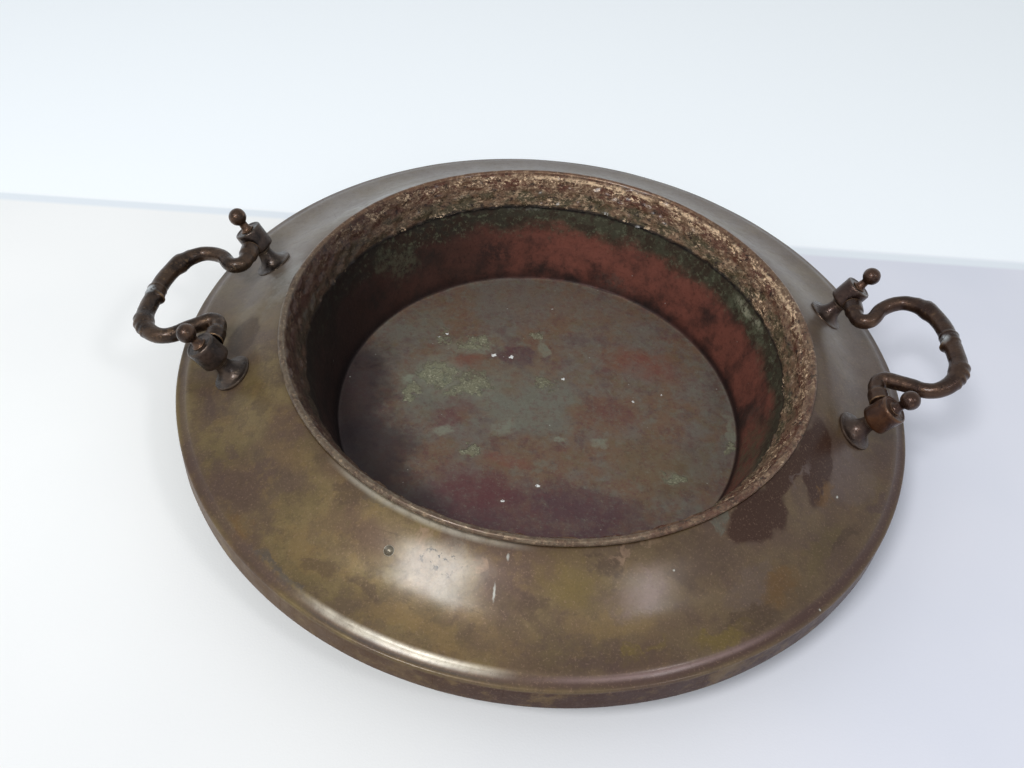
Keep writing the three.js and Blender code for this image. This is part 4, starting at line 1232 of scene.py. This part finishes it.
def make_block(name, place, side, end, seed):
    underside = -(BRIM_SHEET + UNDERSIDE_GAP) - WASHER_THICKNESS - GAP
    stud_end = underside - NUT_HEIGHT - STUD_TAIL
    outline = [
        (0, stud_end),
        *stud_line(stud_end, underside + 1.0),
        (STUD_RADIUS, underside + 2.0),
        (STUD_RADIUS, BLOCK_BOTTOM),
        (BLOCK_BOTTOM_RADIUS - 0.4, BLOCK_BOTTOM),
        (BLOCK_BOTTOM_RADIUS + 0.2, BLOCK_BOTTOM + 0.15),
        (BLOCK_RADIUS - 0.5, BLOCK_BOTTOM + BLOCK_BOTTOM_CHAMFER - 0.2),
        (BLOCK_RADIUS, BLOCK_BOTTOM + BLOCK_BOTTOM_CHAMFER + 0.5),
        *stepped([(BLOCK_RADIUS, BLOCK_BOTTOM + BLOCK_BOTTOM_CHAMFER + 0.5),
                  (BLOCK_RADIUS, BLOCK_TOP - BLOCK_CHAMFER)], 1.5)[1:],
        (BLOCK_RADIUS - 0.35, BLOCK_TOP - 0.35),
        (BLOCK_RADIUS - BLOCK_CHAMFER, BLOCK_TOP),
        (BLOCK_RADIUS - 1.6, BLOCK_TOP - 0.05),
        (BLOCK_RADIUS - 2.2, BLOCK_TOP - 0.5),
        (FINIAL_FLARE_RADIUS - 0.4, BLOCK_TOP - 0.4),
        (0, BLOCK_TOP - 0.4),
    ]
    block = lathe(f"block_{name}", outline, TURNED_SEGMENTS, turned_relief(seed), place)
    cut_bore(block, place, side, end)
    finish = BRONZE_FINISH["amber_block_bronze" if name == "right_front" else "block_bronze"]
    dress(block, BODY, finish, "block_bronze", f"pivot_block_{name}")


def make_finial(name, place, seed):
    base = BLOCK_TOP - 0.35
    neck_top = BLOCK_TOP + GAP + FINIAL_NECK_HEIGHT
    neck_inside = math.sqrt(BALL_RADIUS ** 2 - FINIAL_NECK_RADIUS ** 2)
    middle = (0, neck_top + neck_inside)
    start = math.degrees(math.atan2(-neck_inside, FINIAL_NECK_RADIUS))
    outline = [
        (0, base),
        (FINIAL_FLARE_RADIUS, base),
        (FINIAL_FLARE_RADIUS, base + 0.5),
        *flare(FINIAL_FLARE_RADIUS - 0.3, FINIAL_NECK_RADIUS, base + 0.8, neck_top - 0.6, 8),
        (FINIAL_NECK_RADIUS + 0.15, neck_top - 0.1),
        *arc(middle, BALL_RADIUS, start + 6, 86, 16),
        (0, middle[1] + BALL_RADIUS),
    ]
    make_lathe(f"ball_finial_{name}", outline, 32, turned_relief(seed), place,
               BRONZE_FINISH["finial_brass"], "finial_brass", f"finial_{name}")


def make_washer(name, place):
    top = -(BRIM_SHEET + UNDERSIDE_GAP)
    bottom = top - WASHER_THICKNESS
    bore = STUD_RADIUS + GAP
    outline = [(bore, bottom), (WASHER_RADIUS - 0.3, bottom), (WASHER_RADIUS, bottom + 0.3),
               (WASHER_RADIUS, top - 0.3), (WASHER_RADIUS - 0.3, top), (bore, top)]
    make_lathe(f"washer_{name}", outline, 32, None, place,
               IRON_FINISH, "hardware_iron", f"stud_washer_{name}")


def make_nut(name, place):
    """Six flats with their corners turned off at both ends."""
    top = -(BRIM_SHEET + UNDERSIDE_GAP) - WASHER_THICKNESS - GAP
    bottom = top - NUT_HEIGHT
    bore = STUD_RADIUS + GAP
    corner = NUT_ACROSS_CORNERS / 2
    flat = corner * cosine(180 / NUT_SIDES)
    sides = stepped([(corner, bottom + 0.7), (corner, top - 0.7)], 1.0)
    outline = [(bore, bottom), (flat - 0.1, bottom), *sides, (flat - 0.1, top), (bore, top)]

    def hexagon(at, normal, radius, height):
        if radius < flat:
            return 0.0
        turn = math.degrees(math.atan2(at[1], at[0])) % (360 / NUT_SIDES) - 180 / NUT_SIDES
        return flat / cosine(turn) - corner

    make_lathe(f"nut_{name}", outline, 72, hexagon, place, IRON_FINISH, "hardware_iron", f"stud_nut_{name}")


def make_posts():
    for i, (name, side, end) in enumerate(POSTS):
        place = post_place(side, end)
        make_foot(name, place, 1.0 + i)
        make_block(name, place, side, end, 11.0 + i)
        make_finial(name, place, 21.0 + i)
        make_washer(name, place)
        make_nut(name, place)


# ---- handles

SIDE_LEAN = math.asin(sine(POST_LEAN) * sine(POST_SPLAY))
STUB_END = (PIVOT.y - BLOCK_RADIUS / math.cos(SIDE_LEAN) - STUB_RADIUS * math.tan(SIDE_LEAN) - GAP)
TENON_END = PIVOT.y + TENON_PAST_CENTRE
ROD_SIDES = 28
LOOP_MIDDLE = (24, 0)
CAST_ROUGHNESS = 0.14
OUTER_TRIM = 0.3  # keeps the roughness within the reach of the source's handle


def handle_line():
    """Middle line of the handle in (outwards, along the hinge), back stub to front stub."""
    def elbow(sign):
        centre = (ELBOW_RADIUS, sign * (ELBOW_MIDDLE + ELBOW_RADIUS))
        return arc(centre, ELBOW_RADIUS, sign * 180, sign * (180 + ELBOW_TURN), 4)
    return [(0, STUB_END), *elbow(1), *LOOP_LINE, *elbow(-1)[::-1], (0, -STUB_END)]


def through(points, step):
    """A centripetal curve through the points, with its own points about step apart."""
    first = Vector(points[0]) * 2 - Vector(points[1])
    last = Vector(points[-1]) * 2 - Vector(points[-2])
    line = [first, *(Vector(p) for p in points), last]
    curve = []
    for p0, p1, p2, p3 in zip(line, line[1:], line[2:], line[3:]):
        knots = [0.0]
        for a, b in ((p0, p1), (p1, p2), (p2, p3)):
            knots.append(knots[-1] + max((b - a).length, 1e-6) ** 0.5)
        k0, k1, k2, k3 = knots
        count = max(1, round((p2 - p1).length / step))
        for i in range(count):
            t = k1 + (k2 - k1) * i / count
            a1 = p0.lerp(p1, (t - k0) / (k1 - k0))
            a2 = p1.lerp(p2, (t - k1) / (k2 - k1))
            a3 = p2.lerp(p3, (t - k2) / (k3 - k2))
            b1 = a1.lerp(a2, (t - k0) / (k2 - k0))
            b2 = a2.lerp(a3, (t - k1) / (k3 - k1))
            curve.append(b1.lerp(b2, (t - k1) / (k2 - k1)))
    curve.append(line[-2])
    return curve


def hump(distance, width):
    return math.exp(-((distance / width) ** 2))


def rod_radius(here):
    """Slim at the elbows, thicker along the outer bar, swelling at the knuckle and corners."""
    near = [(here - Vector(c)).length for c in (BACK_CORNER, FRONT_CORNER)]
    bar = smoothstep(here.x, BAR_STARTS, BAR_FULL)
    elbow = 1 - smoothstep(here.x, ELBOW_RADIUS, ELBOW_RADIUS + ELBOW_FADE)
    radius = ROD_RADIUS + bar * (BAR_RADIUS - ROD_RADIUS) + elbow * (ELBOW_ROD_RADIUS - ROD_RADIUS)
    radius += 0.9 * hump(near[0], 4.5) + 0.8 * hump(near[1], 5.0)
    along = (here - Vector(KNUCKLE)).length
    radius += 0.55 * hump(along, 3.0)
    if here.x < ELBOW_RADIUS:
        stub = smoothstep(abs(here.y), STUB_END - STUB_LENGTH - STUB_TAPER, STUB_END - STUB_LENGTH)
        radius += (STUB_RADIUS - radius) * stub
    return radius


# Small cast spurs: place, how far along they reach, side (1 outer, -1 inner), height.
SPURS = [
    ((53.6, -6.6), 1.5, -1, 2.2),
    ((53.3, 0.8), 1.2, 1, 0.8),
    ((45.0, 31.8), 1.8, 1, 0.9),
    ((40.8, 37.2), 1.5, 1, 0.6),
    ((52.6, -28.2), 1.5, 1, 0.9),
    ((50.8, -32.6), 1.1, 1, 0.9),
    ((48.6, -36.0), 1.0, 1, 0.9),
    ((46.0, -38.8), 0.9, 1, 0.7),
]
COLLAR_HEIGHT = 0.45  # a raised ring on each side of the knuckle
COLLARS = [(53.1, 1.8), (53.7, -5.4)]


def spur_relief(here, outward):
    """How far the surface stands out at one place of the rod, besides its radius."""
    lift = 0.0
    for (x, y), reach, side, height in SPURS:
        facing = max(0.0, outward * side)
        lift += height * hump((here - Vector((x, y))).length, reach) * facing ** 2
    for place in COLLARS:
        lift += COLLAR_HEIGHT * hump((here - Vector(place)).length, 0.9)
    return lift


def make_handle(name, body, side, raise_angle, seed):
    curve = through(handle_line(), 0.9)
    middles = [Vector((0, TENON_END)), Vector((0, STUB_END + 0.02)), *curve[1:-1],
               Vector((0, -STUB_END - 0.02)), Vector((0, -TENON_END))]
    radii = [TENON_RADIUS, TENON_RADIUS, *(rod_radius(p) for p in curve[1:-1]), TENON_RADIUS, TENON_RADIUS]
    middles[2:2] = [Vector((0, STUB_END)), Vector((0, STUB_END - 0.5))]
    radii[2:2] = [STUB_RADIUS - 0.5, STUB_RADIUS]
    middles[-2:-2] = [Vector((0, -STUB_END + 0.5)), Vector((0, -STUB_END))]
    radii[-2:-2] = [STUB_RADIUS, STUB_RADIUS - 0.5]
    points = []
    centre = Vector(LOOP_MIDDLE)
    last = len(middles) - 1
    for i, (middle, radius) in enumerate(zip(middles, radii)):
        before, after = middles[max(i - 1, 0)], middles[min(i + 1, last)]
        along = (after - before).normalized()
        across = Vector((along.y, -along.x))
        outer = 1 if across.dot(middle - centre) > 0 else -1
        plain = i < 4 or i > last - 4
        for k in range(ROD_SIDES):
            turn = 2 * math.pi * k / ROD_SIDES
            size = radius
            if not plain:
                flat = middle + across * radius * math.cos(turn)
                at = (flat.x, flat.y, radius * math.sin(turn))
                size += CAST_ROUGHNESS * lumps(at, 6, seed, 3) + spur_relief(middle, math.cos(turn) * outer)
                size -= OUTER_TRIM * max(0.0, math.cos(turn) * outer)
            spot = middle + across * size * math.cos(turn)
            points.append((spot.x, spot.y, size * math.sin(turn)))
    faces = []
    for i in range(last):
        for k in range(ROD_SIDES):
            a, b = i * ROD_SIDES + k, i * ROD_SIDES + (k + 1) % ROD_SIDES
            faces.append([a, a + ROD_SIDES, b + ROD_SIDES, b])
    faces.append(list(range(ROD_SIDES)))
    faces.append([last * ROD_SIDES + k for k in reversed(range(ROD_SIDES))])
    place = Matrix.Translation((side * PIVOT.x, 0, PIVOT.z))
    if side < 0:
        place = place @ Matrix.Rotation(math.pi, 4, "Z")
    place = place @ Matrix.Rotation(-math.radians(raise_angle), 4, "Y")
    if side < 0:
        place = place @ Matrix.Rotation(math.pi, 4, "X")
    handle = mesh_from(f"bail_{name}", points, faces, place)
    dress(handle, body, BRONZE_FINISH["handle_bronze"], "handle_bronze", f"handle_{name}")


# ---- the object

make_brim()
make_neck()
make_pan()
make_rivets()
make_plug()
make_posts()
make_handle("left", "left_bail", -1, LEFT_RAISE, 31.0)
make_handle("right", "right_bail", 1, RIGHT_RAISE, 37.0)
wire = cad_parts["rim_wire"]
wire.data.materials.clear()
wire.data.materials.append(IRON_FINISH)

# ---- camera, floor and light

CAMERA_PLACE = (-24.9, -479.4, 521.6)
CAMERA_YAW = 0.416
CAMERA_PITCH = 46.122  # below the horizontal
CAMERA_ROLL = 5.613
CAMERA_LENS = 33.398  # millimetres on a 36 mm wide sensor


def make_camera():
    data = bpy.data.cameras.new("photo_camera")
    data.lens = CAMERA_LENS
    data.sensor_width = 36.0
    data.sensor_fit = "HORIZONTAL"
    data.clip_start = 0.01
    camera = new_object("photo_camera", data)
    ahead = Vector((sine(CAMERA_YAW) * cosine(CAMERA_PITCH), cosine(CAMERA_YAW) * cosine(CAMERA_PITCH),
                    -sine(CAMERA_PITCH)))
    right = Vector((cosine(CAMERA_YAW), -sine(CAMERA_YAW), 0))
    up = right.cross(ahead)
    x_axis = right * cosine(CAMERA_ROLL) + up * sine(CAMERA_ROLL)
    y_axis = up * cosine(CAMERA_ROLL) - right * sine(CAMERA_ROLL)
    turn = Matrix((x_axis, y_axis, -ahead)).transposed().to_4x4()
    camera.matrix_world = Matrix.Translation(Vector(CAMERA_PLACE) * MM) @ turn
    bpy.context.scene.camera = camera


FLOOR_HALF = 6.0  # metres
FLOOR_LEVEL = -0.0003  # just under the part, so that no two faces share a plane
# The cloth ends behind the object along this line: a place on it and its direction.
CLOTH_EDGE_PLACE = (0, 212)
CLOTH_EDGE_TURN = 2.3
CLOTH_NEAR = srgb(238, 237, 235)
CLOTH_BRIGHT = srgb(253, 252, 249)
CLOTH_CLOUD = srgb(200, 204, 208)
CLOTH_SHADE = (srgb(227, 227, 235), srgb(222, 223, 232))
CLOTH_EDGE = srgb(236, 241, 245)
WALL_COOL = srgb(248, 252, 254)


def make_floor():
    mesh = bpy.data.meshes.new("floor")
    corners = [(x * FLOOR_HALF, y * FLOOR_HALF, FLOOR_LEVEL) for x, y in ((-1, -1), (1, -1), (1, 1), (-1, 1))]
    mesh.from_pydata(corners, [], [[0, 1, 2, 3]])
    floor = new_object("floor", mesh)
    s = Shader("white_cloth")
    clouds = s.ramp(s.noise(160, 2, 0.5), 0.3, 0.7)
    bright = s.mix(s.ramp(s.y, -340, -60), CLOTH_NEAR, CLOTH_BRIGHT)
    bright = s.mix(s.times(clouds, 0.06), bright, CLOTH_CLOUD)
    # To the right the cloth is painted in shade.
    s.color = s.mix(s.ramp(s.x, -120, 260), bright, s.mix(clouds, *CLOTH_SHADE))
    # Behind its edge the cloth gives way to the wall's cooler white.
    from_edge = s.vector("SUBTRACT", s.place, (*CLOTH_EDGE_PLACE, 0.0))
    past = s.vector("DOT_PRODUCT", from_edge, (-sine(CLOTH_EDGE_TURN), cosine(CLOTH_EDGE_TURN), 0.0))
    s.lay(CLOTH_EDGE, s.band(past, -3, 8, 3))
    s.lay(WALL_COOL, s.ramp(past, 5, 12))
    floor.data.materials.append(s.finish(0.9, 0.0, s.bump(s.noise(1.5, 2, 0.5), 0.15, 0.4)))
    # Far from the object the floor stays as white as it is near it, as seen or mirrored.
    far = s.most(s.ramp(past, 4, 9, 0.0, 0.075), s.ramp(s.radius, 450, 2200, 0.0, 0.30))
    rays = s.node("ShaderNodeLightPath")
    seen = s.add(rays.outputs["Is Camera Ray"], rays.outputs["Is Glossy Ray"])
    seen = s.math("ADD", seen, rays.outputs["Is Transmission Ray"], clamp=True)
    surface = s.tree.nodes["Principled BSDF"]
    s.put(surface.inputs["Emission Color"], FAR_FLOOR_GLOW)
    s.put(surface.inputs["Emission Strength"], s.times(far, seen))


def area_light(name, direction, distance, size, power, color):
    data = bpy.data.lights.new(name, "AREA")
    data.shape = "DISK"
    data.size = size
    data.energy = power
    data.color = color
    light = new_object(name, data)
    towards = Vector(direction).normalized()
    light.location = towards * distance
    light.rotation_euler = towards.to_track_quat("Z", "Y").to_euler()


# Direction from the object, distance and size in metres, power in watts and colour.
WINDOWS = [
    ("window_left", (-0.32, -0.508, 0.80), 1.9, 0.40, 17.0, (0.97, 0.985, 1.0)),
    ("window_right", (0.454, -0.469, 0.758), 2.2, 0.30, 5.0, (0.97, 0.97, 1.0)),
]
WORLD_COLOR = (0.90, 0.95, 1.0, 1.0)
FAR_FLOOR_GLOW = (1.0, 0.97, 0.93, 1.0)
WORLD_LEVEL = 0.53
HORIZON_LEVEL = 0.95  # the white walls of the room, which the back slopes reflect


def make_world():
    world = bpy.data.worlds.new("room")
    bpy.context.scene.world = world
    world.use_nodes = True
    tree = world.node_tree
    coordinates = tree.nodes.new("ShaderNodeTexCoord")
    height = tree.nodes.new("ShaderNodeSeparateXYZ")
    tree.links.new(coordinates.outputs["Generated"], height.inputs[0])
    level = tree.nodes.new("ShaderNodeMapRange")
    reach = {"From Min": 0.05, "From Max": 0.6, "To Min": HORIZON_LEVEL, "To Max": WORLD_LEVEL}
    for key, value in reach.items():
        level.inputs[key].default_value = value
    tree.links.new(height.outputs[2], level.inputs["Value"])
    background = tree.nodes["Background"]
    background.inputs["Color"].default_value = WORLD_COLOR
    tree.links.new(level.outputs["Result"], background.inputs["Strength"])


def make_light():
    make_world()
    for window in WINDOWS:
        area_light(*window)


make_camera()
make_floor()
make_light()
bpy.context.scene.view_settings.view_transform = "Standard"
